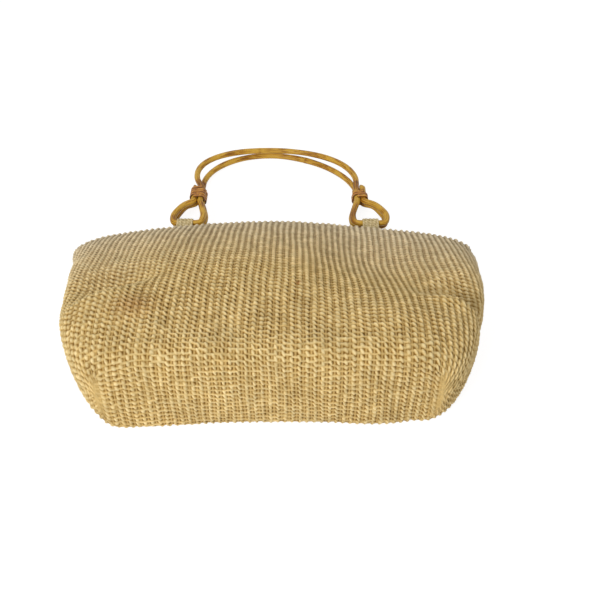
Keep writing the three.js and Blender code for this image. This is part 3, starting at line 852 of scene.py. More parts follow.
@dataclass(frozen=True)
class BagShape:
    """The outer skin of the bag's body, and the layers inside it."""

    length: float = 256.0  # base to mouth
    base_width: float = 300.0
    mouth_width: float = 424.0
    flare: float = 76.0  # how soon the sides have opened out
    base_depth: float = 89.0  # back to front
    mouth_rise: float = 34.0  # height of the front at the mouth
    back_bow: float = 14.0  # how far the back's mouth reaches past the front's
    corner_sag: float = 6.0  # how much shorter the mouth's corners are
    corner_round: float = 10.0  # and how much more their tips
    corner_power: float = 16.0
    flat_run: float = 78.0  # how far the front is level before it falls
    fall_power: float = 1.85
    seam_base: float = 42.0  # height of the side seams at the base
    seam_mouth: float = 11.0  # and at the mouth
    seam_power: float = 1.2
    base_round: float = 14.0  # radius of the back's sides at the base
    side_round: float = 34.0  # and at the mouth
    fold_depth: float = 18.0  # of the fold between the base and a panel
    fold_front: float = 13.0  # how far the fold draws in the front
    fold_back: float = 6.0  # the back
    fold_end: float = 6.0  # and each side
    square_base: float = 4.5  # power of the section's superellipse at the base
    square_mouth: float = 1.7  # and at the mouth
    mouth_ease: float = 0.8  # power of the section's height at the mouth
    ease_power: float = 4.0
    past_mouth: float = 1.2  # share of the length up to which the section changes
    cloth: float = 2.8  # thickness
    seat: float = 0.3  # gap between pieces that touch
    lap: float = 0.15  # how far a panel reaches over the side seam
    swells: tuple[Bell, ...] = (
        Bell(-135, 62, 50, 36, 6),
        Bell(-160, 112, 46, 28, -20),
        Bell(112, 40, 56, 36, 7),
        Bell(168, 106, 36, 22, -15),
        Bell(110, 158, 66, 68, -24),
        Bell(-170, 165, 50, 45, -12),
    )
    creases: tuple[Crease, ...] = (Crease(-150, 88, 20, 34, 9, 5.5), Crease(170, 84, -8, 27, 7, 8.5))
    pulls: tuple[Pull, ...] = (
        Pull(Hand.LEFT, 242, 32, 9.5),
        Pull(Hand.LEFT, 185, 24, 2.5),
        Pull(Hand.LEFT, 130, 50, -2),
        Pull(Hand.RIGHT, 90, 50, -2.5),
        Pull(Hand.RIGHT, 76, 11, -4),
        Pull(Hand.RIGHT, 220, 30, 2.5),
    )
    # where the base's lower edge stands out, and how far along the bag it draws the cloth with it
    sags: tuple[Hump, ...] = (
        Hump(-128, 66, 6.0), Hump(86, 26, 2.2), Hump(130, 14, -2.5), Hump(170, 20, 7.0),
    )
    sag_reach: float = 60.0
    samples: int = 481  # points on a section before it is spaced along the cloth

    @property
    def fold_run(self) -> float:
        """Cloth in the fold between the base and a panel."""
        return self.fold_depth * math.pi / 2

    @property
    def mouth_run(self) -> float:
        """Cloth from the base edge to the mouth."""
        return self.fold_run + self.length - self.fold_depth

    def row_place(self, run: Array) -> tuple[Array, Array]:
        """Where a row lies: round a quarter circle at the fold, then straight along the bag.

        Args:
            run: distance along the cloth from the base edge.

        Returns:
            Y, and the share of the fold that is left.
        """
        turn = np.clip(run / self.fold_depth, 0, math.pi / 2)
        y = self.fold_depth * (1 - np.cos(turn)) + np.maximum(0, run - self.fold_run)
        return y, 1 - np.sin(turn)

    def section(self, y: Array, fold: Array | float = 0.0) -> Section:
        """Sizes of the cross-section at each Y, drawn in by the fold's share at the base.

        The width flares as a decaying exponential, the front falls by a power, and so does the side seam.
        """
        along = np.clip(y / self.length, 0, self.past_mouth)
        flare = (1 - np.exp(-y / self.flare)) / (1 - math.exp(-self.length / self.flare))
        fall = np.maximum(0, (y - self.flat_run) / (self.length - self.flat_run)) ** self.fall_power
        return Section(
            half=lerp(self.base_width, self.mouth_width, flare) / 2 - self.fold_end * fold,
            top=lerp(self.base_depth, self.mouth_rise, fall) - self.fold_front * fold,
            bottom=self.fold_back * fold + 0 * y,
            seam=lerp(self.seam_base, self.seam_mouth, along**self.seam_power),
            round=lerp(self.base_round, self.side_round, flare),
            square=lerp(self.square_base, self.square_mouth, along),
            ease=lerp(1 / self.square_base, self.mouth_ease, along**self.ease_power),
        )

    def bowed(self, side: Side, x: Array, y: Array) -> Array:
        """Y after the panels' curved mouths: shorter at the corners, and the back longer in the middle."""
        edge = np.minimum(1, np.abs(x / self.section(y).half))
        middle = self.back_bow * (1 - edge**2) if side is Side.BACK else 0.0
        corner = self.corner_sag * edge**2 + self.corner_round * edge**self.corner_power
        return y * (1 + (middle - corner) / self.length)

    def pulled(self, x: Array, y: Array) -> Array:
        """X after the sides' own outline: a point moves with its side, the more the nearer the seam."""
        near = np.minimum(1, np.abs(x / self.section(y).half)) ** 2
        return x + np.sign(x) * near * sum(pull.at(x, y) for pull in self.pulls)

    def sagged(self, x: Array, y: Array, z: Array) -> Array:
        """How far the cloth stands out at the base: most at its lower edge, less up and along the bag."""
        share = np.clip(1 - z / self.base_depth, 0, 1) * np.exp(-y / self.sag_reach)
        return share * sum(sag.at(x) for sag in self.sags)

    def front_height(self, x: Array, y: Array, fold: Array | float = 0.0) -> Array:
        """Height of the front: a squared arch over the side seams, with the cloth's slack on it."""
        s = self.section(y, fold)
        share = np.maximum(0, 1 - np.abs(x / s.half) ** s.square) ** s.ease
        seam = s.seam - self.lap
        slack = sum(bump.at(x, y) for bump in self.swells + self.creases)
        return seam + (s.top - seam + slack) * share

    def outline(self, side: Side, runs: Array) -> Array:
        """Dense cross-sections of a panel, seam to seam.

        The front's X is a superellipse and its Z the front's height. The back is flat, and turns up to the
        seam in a quarter ellipse at each side.

        Args:
            side: the panel.
            runs: distance of each row along the cloth.

        Returns:
            Points, rows by samples by 3.
        """
        y, fold = (value[:, None] for value in self.row_place(runs))
        s = self.section(y, fold)
        if side is Side.FRONT:
            angle = np.linspace(math.pi, 0, self.samples)[None]
            x = s.half * np.sign(np.cos(angle)) * np.abs(np.cos(angle)) ** (2 / s.square)
            z = self.front_height(x, y, fold)
        else:
            share = np.linspace(-1, 1, self.samples)[None]
            turned = np.clip((np.abs(share) - 0.5) * math.pi, 0, math.pi / 2)
            flat = s.half - s.round
            x = np.sign(share) * (flat * np.minimum(1, 2 * np.abs(share)) + s.round * np.sin(turned))
            z = s.bottom + (s.seam + self.lap - s.bottom) * (1 - np.cos(turned))
        along = self.bowed(side, x, y) - self.sagged(x, y, z)
        return np.stack([self.pulled(x, y + 0 * x), along, z], axis=-1)

    def skin(self, side: Side, runs: Array, spread: Spread) -> tuple[Array, Array]:
        """Points on the skin whose columns lie at set distances across the cloth.

        Args:
            side: the panel.
            runs: distance of each row along the cloth.
            spread: how the columns are spread.

        Returns:
            Points, rows by columns by 3, and each point's distance across the cloth from the middle line.
        """
        outline = self.outline(side, runs)
        arc = path_lengths(outline)
        arc -= arc[:, self.samples // 2, None]
        across = spread.columns(arc[:, 0], arc[:, -1])
        return interpolate_rows(across, arc, outline), across

    def outward(self, side: Side, points: Array) -> Array:
        """Normals of a grid on the skin, out of the bag."""
        return grid_normals(points) * side.value

    def back_edge(self, x: Array) -> Array:
        """Height of the base plate's lower edge, where the back's fold starts."""
        s = self.section(np.zeros(1), 1.0)
        turned = np.arcsin(np.clip((np.abs(x) - (s.half - s.round)) / s.round, 0, 1))
        return s.bottom + (s.seam + self.lap - s.bottom) * (1 - np.cos(turned))

    def base_half(self) -> float:
        """Half the width of the base plate between the folds of its ends."""
        return float(self.section(np.zeros(1), 1.0).half[0])

    def base_top(self, x: Array) -> Array:
        """Height of the base plate's upper edge, where the front's fold starts."""
        return self.front_height(x, np.zeros((1, 1)), 1.0)


@dataclass
class Body:
    """The jute body: front, base and back of one cloth, with facings, lining and seam tapes inside."""

    shape: BagShape = field(default_factory=BagShape)
    weave: Weave = field(default_factory=Weave)
    ribs_even: int = 22  # ribs on each side of the middle line before the sides begin
    ribs_outer: int = 13  # ribs from there to each seam, at the mouth
    rows: int = 54  # weave rows from the base to the mouth
    rim_rows: int = 1  # weave rows round the mouth's edge
    hem_under: float = 0.5  # how far the inner face lies under the rim's end
    hem_back: float = 1.0  # and how far behind it the next row starts
    front_cell: Count = (10, 10)  # samples in a row and in a rib
    back_cell: Count = (5, 6)
    base_cell: Count = (10, 10)
    facing_cell: Count = (4, 5)
    strips: int = 5  # pieces of a panel, side by side
    base_rows: int = 15
    base_crown: float = 2.5  # how far the base stands out in the middle
    base_fill: float = 0.86  # share of its oblong that the base's rounded outline fills
    row_drop: float = 66.0  # height to which the base's rows follow its upper edge down at the ends
    low: float = 0.62  # share of the weave's depth that lies under the skin
    plain_open: float = 0.62  # openness of cloth whose weave does not show
    drawn_power: float = 32.0  # how near the base's ends the weave is drawn flat
    drawn_run: float = 4.0  # and how far along the panels
    taut_run: float = 36.0  # how far along the panels the base's stretch goes
    taut_corner: Hump = Hump(-140, 50, 36.0)  # how much farther at the left corner, where the cloth is flat
    taut_least: float = 0.2  # stretch at the base's ends
    taut_middle: Hump = Hump(-10, 90, 0.4)  # and how much more in its middle
    taut_fade: float = 5.0  # along the cloth, the length of the step at the stretch's end
    bleach: Pair = (120.0, 280.0)  # along the cloth, where the painted sheen begins to grey it and where it is greyest
    stains: tuple[Bell, ...] = (Bell(-116, 58, 17, 12, 0.45), Bell(24, 91, 2.2, 2.2, 1.0))
    facing: float = 1.8  # thickness
    facing_depth: float = 30.0
    facing_inset: float = 24.0  # left free beside each seam
    facing_rows: int = 6
    facing_ribs: Count = (20, 10)  # ribs over the middle and beside it, on each half
    facing_shown: float = 0.7  # share of the weave's depth on the facings
    slack: float = 0.8  # room on each side of the tapes
    tape: float = 1.0  # thickness
    tape_width: float = 14.0
    tape_grid: Count = (49, 6)  # rows, and columns of half a tape
    lining: float = 0.8  # thickness
    lining_rows: int = 61
    lining_columns: Count = (66, 39)  # over the middle and beside it, on each half
    lining_fill: float = 0.9  # share of its oblong that the lining's outline fills
    lining_corner: float = 7.0  # how far the lining's floor is drawn in
    floor_grid: Count = (25, 91)
    floor_power: float = 8.0  # how late the floor turns up at its edges
    board: float = 2.5  # thickness

    def woven(
        self, points: Array, normals: Array, across: Array, along: Array, fade: Array | float,
        taut: Array | float,
    ) -> dict:
        """Raise the weave on a grid of skin points.

        Args:
            points: the skin, rows by columns by 3.
            normals: outward normals there.
            across: distance across the cloth.
            along: distance along the cloth.
            fade: share of the weave's depth that shows.
            taut: how stretched the cloth is, from 0 to 1.

        Returns:
            The raised grid, with its uv and its values.
        """
        height, openness, tone = self.weave.relief(across, along, taut)
        openness = lerp(self.plain_open, openness, fade)
        raised = points + normals * ((height - self.low) * self.weave.depth * fade)[..., None]
        uv = np.stack([across, along], axis=-1)
        # painted sheen: a share from 0 to 1 that greys the cloth towards the mouth
        bleach = np.clip((along - self.bleach[0]) / (self.bleach[1] - self.bleach[0]), 0, 1)
        # relief holds the openness, from which the materials paint shade and light
        return {"outer": raised, "relief": openness, "tone": tone, "bleach": bleach, "uv": uv}

    def taut(self, x: Array, along: Array) -> Array:
        """How stretched the cloth is, which shapes the weave and sets how dark its painted shade is: a bell
        over the base's width, with a soft step to 0 along the panels.

        Args:
            x: place across the bag.
            along: distance along the cloth from the base edge.

        Returns:
            From 0, slack, to 1.
        """
        end = self.taut_run + self.taut_corner.at(x)
        over = self.taut_least + self.taut_middle.at(x)
        return over / (1 + np.exp(np.clip((along - end) / self.taut_fade, -STEP_ENDS, STEP_ENDS)))

    def shown(self, x: Array, along: Array) -> Array:
        """Share of the weave's depth that shows: less at the base's ends, where the cloth is gathered."""
        half = self.shape.base_width / 2 - self.shape.fold_end
        near = np.minimum(1, np.abs(x / half)) ** self.drawn_power
        return 1 - near * np.exp(-along / self.drawn_run)

    @staticmethod
    def lengths(skin: Array) -> Array:
        """Length of cloth from the first row to each point of a grid.

        It adds up each column's steps, less their part across the cloth. Each column is then scaled to the
        mean length, so that the last row lies on one thread.

        Args:
            skin: rows by columns by 3.

        Returns:
            Lengths, rows by columns.
        """
        steps = np.diff(skin, axis=0)
        across = unit(np.gradient(skin, axis=1))[:-1]
        steps -= across * np.einsum("ijk,ijk->ij", steps, across)[..., None]
        spans = np.linalg.norm(steps, axis=2)
        long = np.concatenate([np.zeros((1, skin.shape[1])), np.cumsum(spans, axis=0)])
        return long * long[-1].mean() / long[-1]

    def panel(self, side: Side, cell: Count) -> tuple[dict, Array]:
        """A whole panel: the woven skin, its rim turned over at the mouth, and a plain inner face.

        Round the rim a row moves on a half circle of half the cloth's thickness, from the skin to the inner
        face.

        Args:
            side: the panel.
            cell: samples in a weave row and in a rib.

        Returns:
            The raised grid with its values, and the inner grid, which has one point for each cell.
        """
        shape = self.shape
        fine_rows, fine_columns = cell
        spread = Spread(
            self.ribs_even * self.weave.rib, self.ribs_even * fine_columns, self.ribs_outer * fine_columns,
        )
        runs = np.linspace(0, shape.mouth_run, self.rows * fine_rows + 1)
        skin, across = shape.skin(side, runs, spread)
        normals = shape.outward(side, skin)
        forward = unit(skin[-1] - skin[-2])
        radius = shape.cloth / 2
        rim_steps = self.rim_rows * fine_rows
        angle = (np.arange(1, rim_steps + 1) / rim_steps * math.pi)[:, None, None]
        outwards = normals[-1] * np.cos(angle) + forward * np.sin(angle)
        rim = skin[-1] - normals[-1] * radius + outwards * radius
        along = self.lengths(skin)
        turned = along[-1] + radius * angle[:, :, 0]
        points = np.concatenate([skin, rim])
        along = np.concatenate([along, turned])
        across = np.concatenate([across, np.broadcast_to(across[-1], turned.shape)])
        x = points[..., 0]
        raised = self.woven(
            points, np.concatenate([normals, outwards]), across, along, self.shown(x, along),
            self.taut(x, along),
        )
        if side is Side.FRONT:
            raised["stain"] = sum(stain.at(x, points[..., 1]) for stain in self.stains)
        inner = skin[::fine_rows, ::fine_columns] - normals[::fine_rows, ::fine_columns] * shape.cloth
        hem = rim[-1:, ::fine_columns] - self.hem_under * outwards[-1:, ::fine_columns]
        inner = np.concatenate([inner, hem])
        inner[-2] -= forward[::fine_columns] * self.hem_back
        return raised, inner

    def build_panel(self, side: Side, cell: Count, material: Finish) -> list[Piece]:
        """A panel as strips side by side, which meet in hollows of the weave.

        Args:
            side: the panel.
            cell: samples in a weave row and in a rib.
            material: the cloth.

        Returns:
            The strips, from the left seam to the right one.
        """
        raised, inner = self.panel(side, cell)
        cuts = np.linspace(0, inner.shape[1] - 1, self.strips + 1).round().astype(int)
        made = []
        for number, (start, end) in enumerate(zip(cuts, cuts[1:]), 1):
            fine = slice(start * cell[1], end * cell[1] + 1)
            part = {key: value[:, fine] for key, value in raised.items()}
            sheet = closed_sheet(part.pop("outer"), inner[:, start:end + 1], cell, **part)
            piece = sheet.to_object(f"{side.word}_cloth_{number}", material)
            attach(piece, "bag", f"{side.word}_panel")
            made.append(piece)
        return made

    def build_base(self, material: Finish) -> Piece:
        """The base: a woven plate between the two folds, slightly crowned.

        A point lies between the back's edge and the front's edge by its row's share, and stands out by a
        crown that is a parabola over the height and a fourth power over the width.
        """
        shape, cell = self.shape, self.base_cell
        half = shape.base_half() + shape.seat
        columns = round(half / self.weave.rib) * cell[1]
        x = np.linspace(-half, half, 2 * columns + 1)[None]
        share = np.linspace(0, 1, self.base_rows * cell[0] + 1)[:, None]
        low, high = shape.back_edge(x), shape.base_top(x)
        z = lerp(low, np.maximum(low, high), share)
        crown = self.base_crown * 4 * share * (1 - share) * (1 - np.abs(x / half) ** 4)
        skin = np.stack([x + 0 * z, -crown - shape.sagged(x, 0.0, z), z], axis=-1)
        normals = grid_normals(skin)
        normals *= -np.sign(normals[..., 1:2])
        raised = self.woven(
            skin, normals, x + 0 * z, z - np.maximum(high, self.row_drop), self.shown(x, 0.0 * z),
            self.taut(x, 0.0 * z),
        )
        inner = skin[:: cell[0], :: cell[1]] + [0, shape.cloth, 0]
        piece = closed_sheet(raised.pop("outer"), inner, cell, **raised).to_object("base_cloth", material)
        attach(piece, "bag", "base_panel")
        return piece

    def layer(self, side: Side, runs: Array, depths: Pair, spread: Spread) -> Surface:
        """A plain layer inside a panel, between two depths under the skin.

        Args:
            side: the panel that it lies under.
            runs: its rows.
            depths: depth of its outer and its inner face.
            spread: its columns.

        Returns:
            The closed layer.
        """
        skin, across = self.shape.skin(side, runs, spread)
        normals = self.shape.outward(side, skin)
        along = np.broadcast_to(runs[:, None], across.shape)
        outer, inner = (skin - normals * depth for depth in depths)
        return closed_sheet(outer, inner, (1, 1), uv=np.stack([across, along], axis=-1))

    def build_facings(self, material: Finish) -> list[Piece]:
        """A woven band inside each mouth edge, its weave on the face that looks into the bag."""
        shape, cell = self.shape, self.facing_cell
        even, outer = self.facing_ribs
        spread = Spread(even * self.weave.rib, even * cell[1], outer * cell[1], self.facing_inset)
        rows = self.facing_rows * cell[0] + 1
        runs = np.linspace(shape.mouth_run - self.facing_depth, shape.mouth_run, rows)
        near = shape.cloth + shape.seat
        made = []
        for side in Side:
            skin, across = shape.skin(side, runs, spread)
            normals = shape.outward(side, skin)
            middle = skin - normals * (near + self.facing - (1 - self.low) * self.weave.depth)
            along = np.broadcast_to(runs[:, None], across.shape)
            raised = self.woven(middle, -normals, across, along, self.facing_shown, 0.0)
            back = (skin - normals * near)[:: cell[0], :: cell[1]]
            sheet = closed_sheet(raised.pop("outer"), back, cell, **raised)
            piece = sheet.to_object(f"{side.word}_facing_cloth", material)
            attach(piece, "bag", f"{side.word}_facing")
            made.append(piece)
        return made

    def lined_runs(self, rows: int) -> Array:
        """Rows from the fold to the facing's edge."""
        shape = self.shape
        return np.linspace(shape.fold_run, shape.mouth_run - self.facing_depth - shape.seat, rows)

    def build_lining(self, material: Finish) -> Piece:
        """A loose cotton bag under the facings: a front, a back and a floor, closed at the base board."""
        shape = self.shape
        start = shape.cloth + self.slack + self.tape + self.slack
        runs = self.lined_runs(self.lining_rows)
        spread = Spread(self.ribs_even * self.weave.rib, *self.lining_columns)
        depths = (start, start + self.lining)
        front, back = (self.layer(side, runs, depths, spread) for side in Side)
        piece = front.joined(back).joined(self.floor()).to_object("lining_cloth", material)
        attach(piece, "bag", "lining")
        return piece

    def floor(self) -> Surface:
        """The lining's floor: the base plate's outline, drawn in, turned up by a power at its edges."""
        shape = self.shape
        rows, columns = self.floor_grid
        half = shape.base_half() - self.lining_corner
        x = np.linspace(-half, half, columns)[None]
        share = np.linspace(0, 1, rows)[:, None]
        low = shape.back_edge(x) + self.lining_corner
        high = shape.base_top(x) - self.lining_corner
        z = lerp(low, high, share)
        y = shape.cloth + shape.seat + self.board + shape.seat
        edge = np.maximum(np.abs(2 * share - 1), np.abs(x / half))
        rise = (shape.fold_depth - y) * edge**self.floor_power
        outer = np.stack([x + 0 * z, y + rise + 0 * z, z], axis=-1)
        inner = outer + [0, self.lining, 0]
        return closed_sheet(outer, inner, (1, 1), uv=np.stack([x + 0 * z, z], axis=-1))

    def build_tapes(self, material: Finish) -> list[Piece]:
        """A cotton strip inside each side seam: half its width on the front, half on the back."""
        shape = self.shape
        runs = self.lined_runs(self.tape_grid[0])
        depths = (shape.cloth + self.slack, shape.cloth + self.slack + self.tape)
        made = []
        for hand in Hand:
            faces = []
            for depth in depths:
                arms = [self.seam_arm(side, hand, runs, depth) for side in (Side.BACK, Side.FRONT)]
                crease = (arms[0][:, :1] + arms[1][:, :1]) / 2
                faces.append(np.concatenate([arms[0][:, :0:-1], crease, arms[1][:, 1:]], axis=1))
            across = np.linspace(-self.tape_width / 2, self.tape_width / 2, faces[0].shape[1])
            uv = np.stack(np.broadcast_arrays(across[None], runs[:, None]), axis=-1)
            piece = closed_sheet(*faces, (1, 1), uv=uv).to_object(f"{hand.word}_tape_cloth", material)
            attach(piece, "bag", f"{hand.word}_seam_tape")
            made.append(piece)
        return made

    def seam_arm(self, side: Side, hand: Hand, runs: Array, depth: float) -> Array:
        """Points from a side seam inwards over half a tape, at a depth under the skin.

        Args:
            side: the panel.
            hand: the seam.
            runs: the rows.
            depth: depth under the skin.

        Returns:
            Rows by columns by 3, the seam first.
        """
        count = self.tape_grid[1]
        outline = self.shape.outline(side, runs)
        outline = outline if hand is Hand.LEFT else outline[:, ::-1]
        wanted = np.broadcast_to(np.linspace(0, self.tape_width / 2, count), (len(runs), count))
        arm = interpolate_rows(wanted, path_lengths(outline), outline)
        normals = grid_normals(arm) * side.value * -hand.value
        normals[:, 0, 2] = 0
        return arm - unit(normals) * depth


@dataclass(frozen=True)
class Arch:
    """Sizes of one handle, and where its tabs hold it."""

    side: Side
    length: float  # loop bar to the top, between centre lines
    half: float  # half the width
    rise: float  # springing to the top
    square: float  # power of the arch's superellipse
    top_height: float  # of the top's centre above the surface that the bag lies on
    reach: float  # mouth edge to the bar
    bend: float  # lift of the tabs at the mouth edge, degrees
    seed: int
    joints: tuple[float, ...]  # places of the cane's joints, shares of its length
    bulge: float  # how far the loops' outer arms are bowed up
    wider: float  # how far the right loop reaches out beyond the left one's width

    @property
    def bar(self) -> Pair:
        """Y and Z of the loops' bars: the joint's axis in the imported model."""
        place = JOINTS[f"{self.side.word}_handle_swing"] - ORIGIN
        return place[1], place[2]


@dataclass
class Handles:
    """Two bent canes, each with a loop at both ends, its lacings, and the tabs that hold the loops."""

    shape: BagShape
    arches: tuple[Arch, ...] = (
        Arch(
            Side.FRONT, length=164, half=97.5, rise=68, square=2.2, top_height=15.6, reach=22, bend=20.0,
            seed=3, joints=(0.24, 0.47, 0.71), bulge=5.0, wider=4.5,
        ),
        Arch(
            Side.BACK, length=157, half=94, rise=83, square=1.9, top_height=6.0, reach=19, bend=0.0,
            seed=5, joints=(0.3, 0.56, 0.8), bulge=7.5, wider=4.5,
        ),
    )
    arch_points: int = 7  # from the top to the springing
    cane: float = 7.2  # diameter
    spread: float = 93.0  # middle line to a leg
    lean: float = -15.5  # how far the arch's top stands to one side
    loop_inner: float = 7.0  # leg to the loop's inner side
    loop_outer: float = 27.0  # and to its outer side
    loop_shoulder: float = 15.0  # bar to the loop's shoulders
    loop_round: float = 7.0  # radius of the loop's lower corners
    cane_gap: float = 0.5  # between the leg and the cane's end
    bar_ease: float = 1.5  # straight part of the bar at each corner
    stub: float = 6.0  # cane's end beyond the lacing
    stub_slant: float = 40.0  # of its cut, degrees
    cane_step: float = 1.3  # between the cane's rings
    sides: int = 20  # of a ring
    cane_mean: float = 0.985  # mean radius, share of the full one
    cane_uneven: float = 0.018  # height of each wave of the radius
    cane_waves: tuple[float, ...] = (9.0, 17.0, 31.0)  # along the cane, in a radian
    joint_reach: float = 2.2  # of the swelling at a joint
    joint_swell: float = 0.05  # its height, share of the radius
    joint_dark: float = 0.16  # how much darker its colour is
    lace_start: float = 50.0  # bar to the lacing's first turn
    left_turns: int = 4
    right_turns: int = 2
    lace_pitch: float = 4.7
    lace_width: float = 4.0
    lace_thick: float = 1.5
    lace_steps: int = 72  # rings in a turn
    lace_sides: int = 14  # of a ring
    lace_square: Pair = (0.45, 0.6)  # powers of the thong's section, across and through
    lace_uneven: float = 0.12  # height of each wave of its turns
    lace_waves: tuple[float, ...] = (9.0, 14.0, 23.0)  # along the thong, in a radian
    edge_dark: float = 0.45  # how much darker it is towards its edges
    edge_power: float = 6.0  # and how near the edge
    tab_width: float = 18.0
    tab_out: float = 2.0  # how far the tabs sit outside the middle of the bar
    tab_ply: float = 1.4
    tab_half: float = 0.52  # middle of the two plies to one of them, share of a ply
    tab_clear: float = 0.5  # play round the bar
    tab_stem: float = 20.0  # inside the mouth
    tab_meet: float = 0.62  # where the plies part, share of the reach
    tab_neck: Pair = (3.2, 0.42)  # before the eye, and its height as a share of the eye
    tab_round: tuple[float, ...] = (125, 90, 45, 0, -45, -90, -125)  # places round the bar, degrees
    tab_step: float = 0.7  # between the tab's rows
    tab_columns: int = 23
    tab_power: float = 10.0  # how near its edges the tab thins out
    tab_sink: float = 0.25  # how far the middle of its weave lies under the surface
    # share of painted sheen, the same all over the tab
    tab_bleach: float = 0.2
    tab_weave: Weave = Weave(rib=4.1, row=3.4, depth=0.7, seed=11)

    @property
    def step(self) -> float:
        """Distance between the leg and the cane's end beside it."""
        return self.cane + self.cane_gap

    @property
    def lace_end(self) -> float:
        """End of the lacing's last turn above the bar."""
        return self.lace_start + max(self.left_turns, self.right_turns) * self.lace_pitch

    @property
    def tab_place(self) -> float:
        """Distance of the tabs from the middle line."""
        return self.spread + (self.loop_outer - self.loop_inner) / 2 + self.tab_out

    def route(self, arch: Arch) -> Array:
        """Points that the cane's centre line passes through, drawn flat from one cut end to the other.

        The arch is a superellipse whose top leans sideways. Each leg goes down beside its lacing, round the
        loop and up again to its cut end.
        """
        angle = np.linspace(math.pi / 2, 0, self.arch_points)[1:]
        power = 2 / arch.square
        x = arch.half * np.cos(angle) ** power
        y = arch.length - arch.rise + arch.rise * np.sin(angle) ** power
        top = self.lace_end + self.lace_width
        sway = self.lean * np.maximum(0, (y - top) / (arch.length - top))
        near, end = self.spread, self.spread + self.step
        inner, outer = near - self.loop_inner, near + self.loop_outer
        bend = self.loop_round * (1 - math.sqrt(0.5))
        waist = (self.lace_start + self.loop_shoulder) / 2
        low = self.lace_start - self.lace_width
        leg = np.array([
            [near, top], [near, self.lace_end], [near, self.lace_start], [near, low],
            [(inner + near) / 2, waist], [inner, self.loop_shoulder], [inner + bend, bend],
            [inner + self.loop_round, 0], [inner + self.loop_round + self.bar_ease, 0],
            [outer - self.loop_round - self.bar_ease, 0], [outer - self.loop_round, 0],
            [outer - bend, bend], [outer, self.loop_shoulder],
            [outer - bend * 2, waist - self.loop_round + arch.bulge / 2],
            [(outer + end) / 2, waist + arch.bulge],
            [end, low], [end, self.lace_start], [end, self.lace_end], [end, self.lace_end + self.stub],
        ])
        left = np.concatenate([np.stack([-x + sway, y], 1), leg * [-1, 1]])
        leg[:, 0] += arch.wider * np.clip((leg[:, 0] - end) / (outer - end), 0, 1) * (leg[:, 1] < low)
        right = np.concatenate([np.stack([x + sway, y], 1), leg])
        return np.concatenate([left[::-1], [[self.lean, arch.length]], right])

    def cane_surface(self, arch: Arch) -> Surface:
        """A round rod along the route, with slight swellings at its joints and slanted cut ends.

        A ring is a circle square to the path. Its radius swells by a bell at each joint of the cane. The
        end rings are sheared along the path by their own height, so that the cut is slanted.
        """
        flat = smooth_path(self.route(arch), self.cane_step)
        path = np.concatenate([flat, np.zeros((len(flat), 1))], axis=1)
        ahead = unit(np.gradient(path, axis=0))
        up = np.array([0, 0, 1.0])
        side = np.cross(ahead, up)
        length = path_lengths(path)
        joints = np.array(arch.joints) * length[-1]
        bell = np.exp(-(((length[:, None] - joints) / self.joint_reach) ** 2)).sum(1)
        turns = np.random.default_rng(arch.seed).uniform(0, math.tau, len(self.cane_waves))
        uneven = sum(
            self.cane_uneven * np.sin(length / wave + turn) for wave, turn in zip(self.cane_waves, turns)
        )
        radius = self.cane / 2 * (self.cane_mean + uneven + self.joint_swell * bell)
        angle = np.linspace(0, math.tau, self.sides, endpoint=False)
        ring = side[:, None] * np.cos(angle)[None, :, None] + up * np.sin(angle)[None, :, None]
        rings = path[:, None] + ring * radius[:, None, None]
        shear = math.tan(math.radians(self.stub_slant)) * self.cane / 2 * np.cos(angle)
        for end in (0, -1):
            rings[end] -= ahead[end] * shear[:, None]
        uv = np.stack(np.broadcast_arrays(angle[None] * self.cane / 2, length[:, None]), axis=-1)
        joint = np.broadcast_to(self.joint_dark * np.minimum(1, bell)[:, None], rings.shape[:2])
        return tube(rings, uv=uv, joint=joint)

    def lace_surface(self, hand: Hand, seed: int) -> Surface:
        """One flat thong wound round the leg and the cane's end.

        Its middle line is a helix on a rounded oblong, two straights and two half circles, with straight
        ends.

        Args:
            hand: the leg.
            seed: of the slight unevenness of its turns.

        Returns:
            The closed thong.
        """
        reach = self.cane / 2 + self.shape.seat + self.lace_thick / 2
        straight = self.step
        turn = math.tau * reach + 2 * straight
        turns = self.left_turns if hand is Hand.LEFT else self.right_turns
        distance = np.linspace(-straight / 2, turn * turns + straight / 2, turns * self.lace_steps)
        d = np.mod(distance + straight / 2, turn)
        arc = math.pi * reach
        on_right = (d - straight) / reach
        on_left = (d - 2 * straight - arc) / reach
        stretch = [d < straight, d < straight + arc, d < 2 * straight + arc]
        up = math.pi / 2 + 0 * d
        angle = np.select(stretch, [up, math.pi / 2 - on_right, -up], -math.pi / 2 - on_left)
        crossing = [d - straight / 2, straight / 2 + 0 * d, straight * 1.5 + arc - d]
        middle = np.select(stretch, crossing, -straight / 2)
        out = np.stack([np.cos(angle), 0 * angle, np.sin(angle)], axis=1)
        centre = out * reach
        centre[:, 0] += middle + hand.value * (self.spread + self.step / 2)
        rng = np.random.default_rng(seed)
        sway = sum(
            self.lace_uneven * np.sin(distance / wave + rng.uniform(0, math.tau))
            for wave in self.lace_waves
        )
        centre[:, 1] = self.lace_start + distance / turn * self.lace_pitch + sway
        share = np.linspace(0, math.tau, self.lace_sides, endpoint=False)
        wide, thick = (
            np.sign(wave) * np.abs(wave) ** power * size / 2
            for wave, power, size in zip(
                (np.cos(share), np.sin(share)), self.lace_square, (self.lace_width, self.lace_thick),
            )
        )
        rings = centre[:, None] + out[:, None] * thick[None, :, None]
        rings[:, :, 1] += wide
        edge = self.edge_dark * np.abs(wide / wide.max())[None] ** self.edge_power
        return tube(rings, edge=np.broadcast_to(edge, rings.shape[:2]))

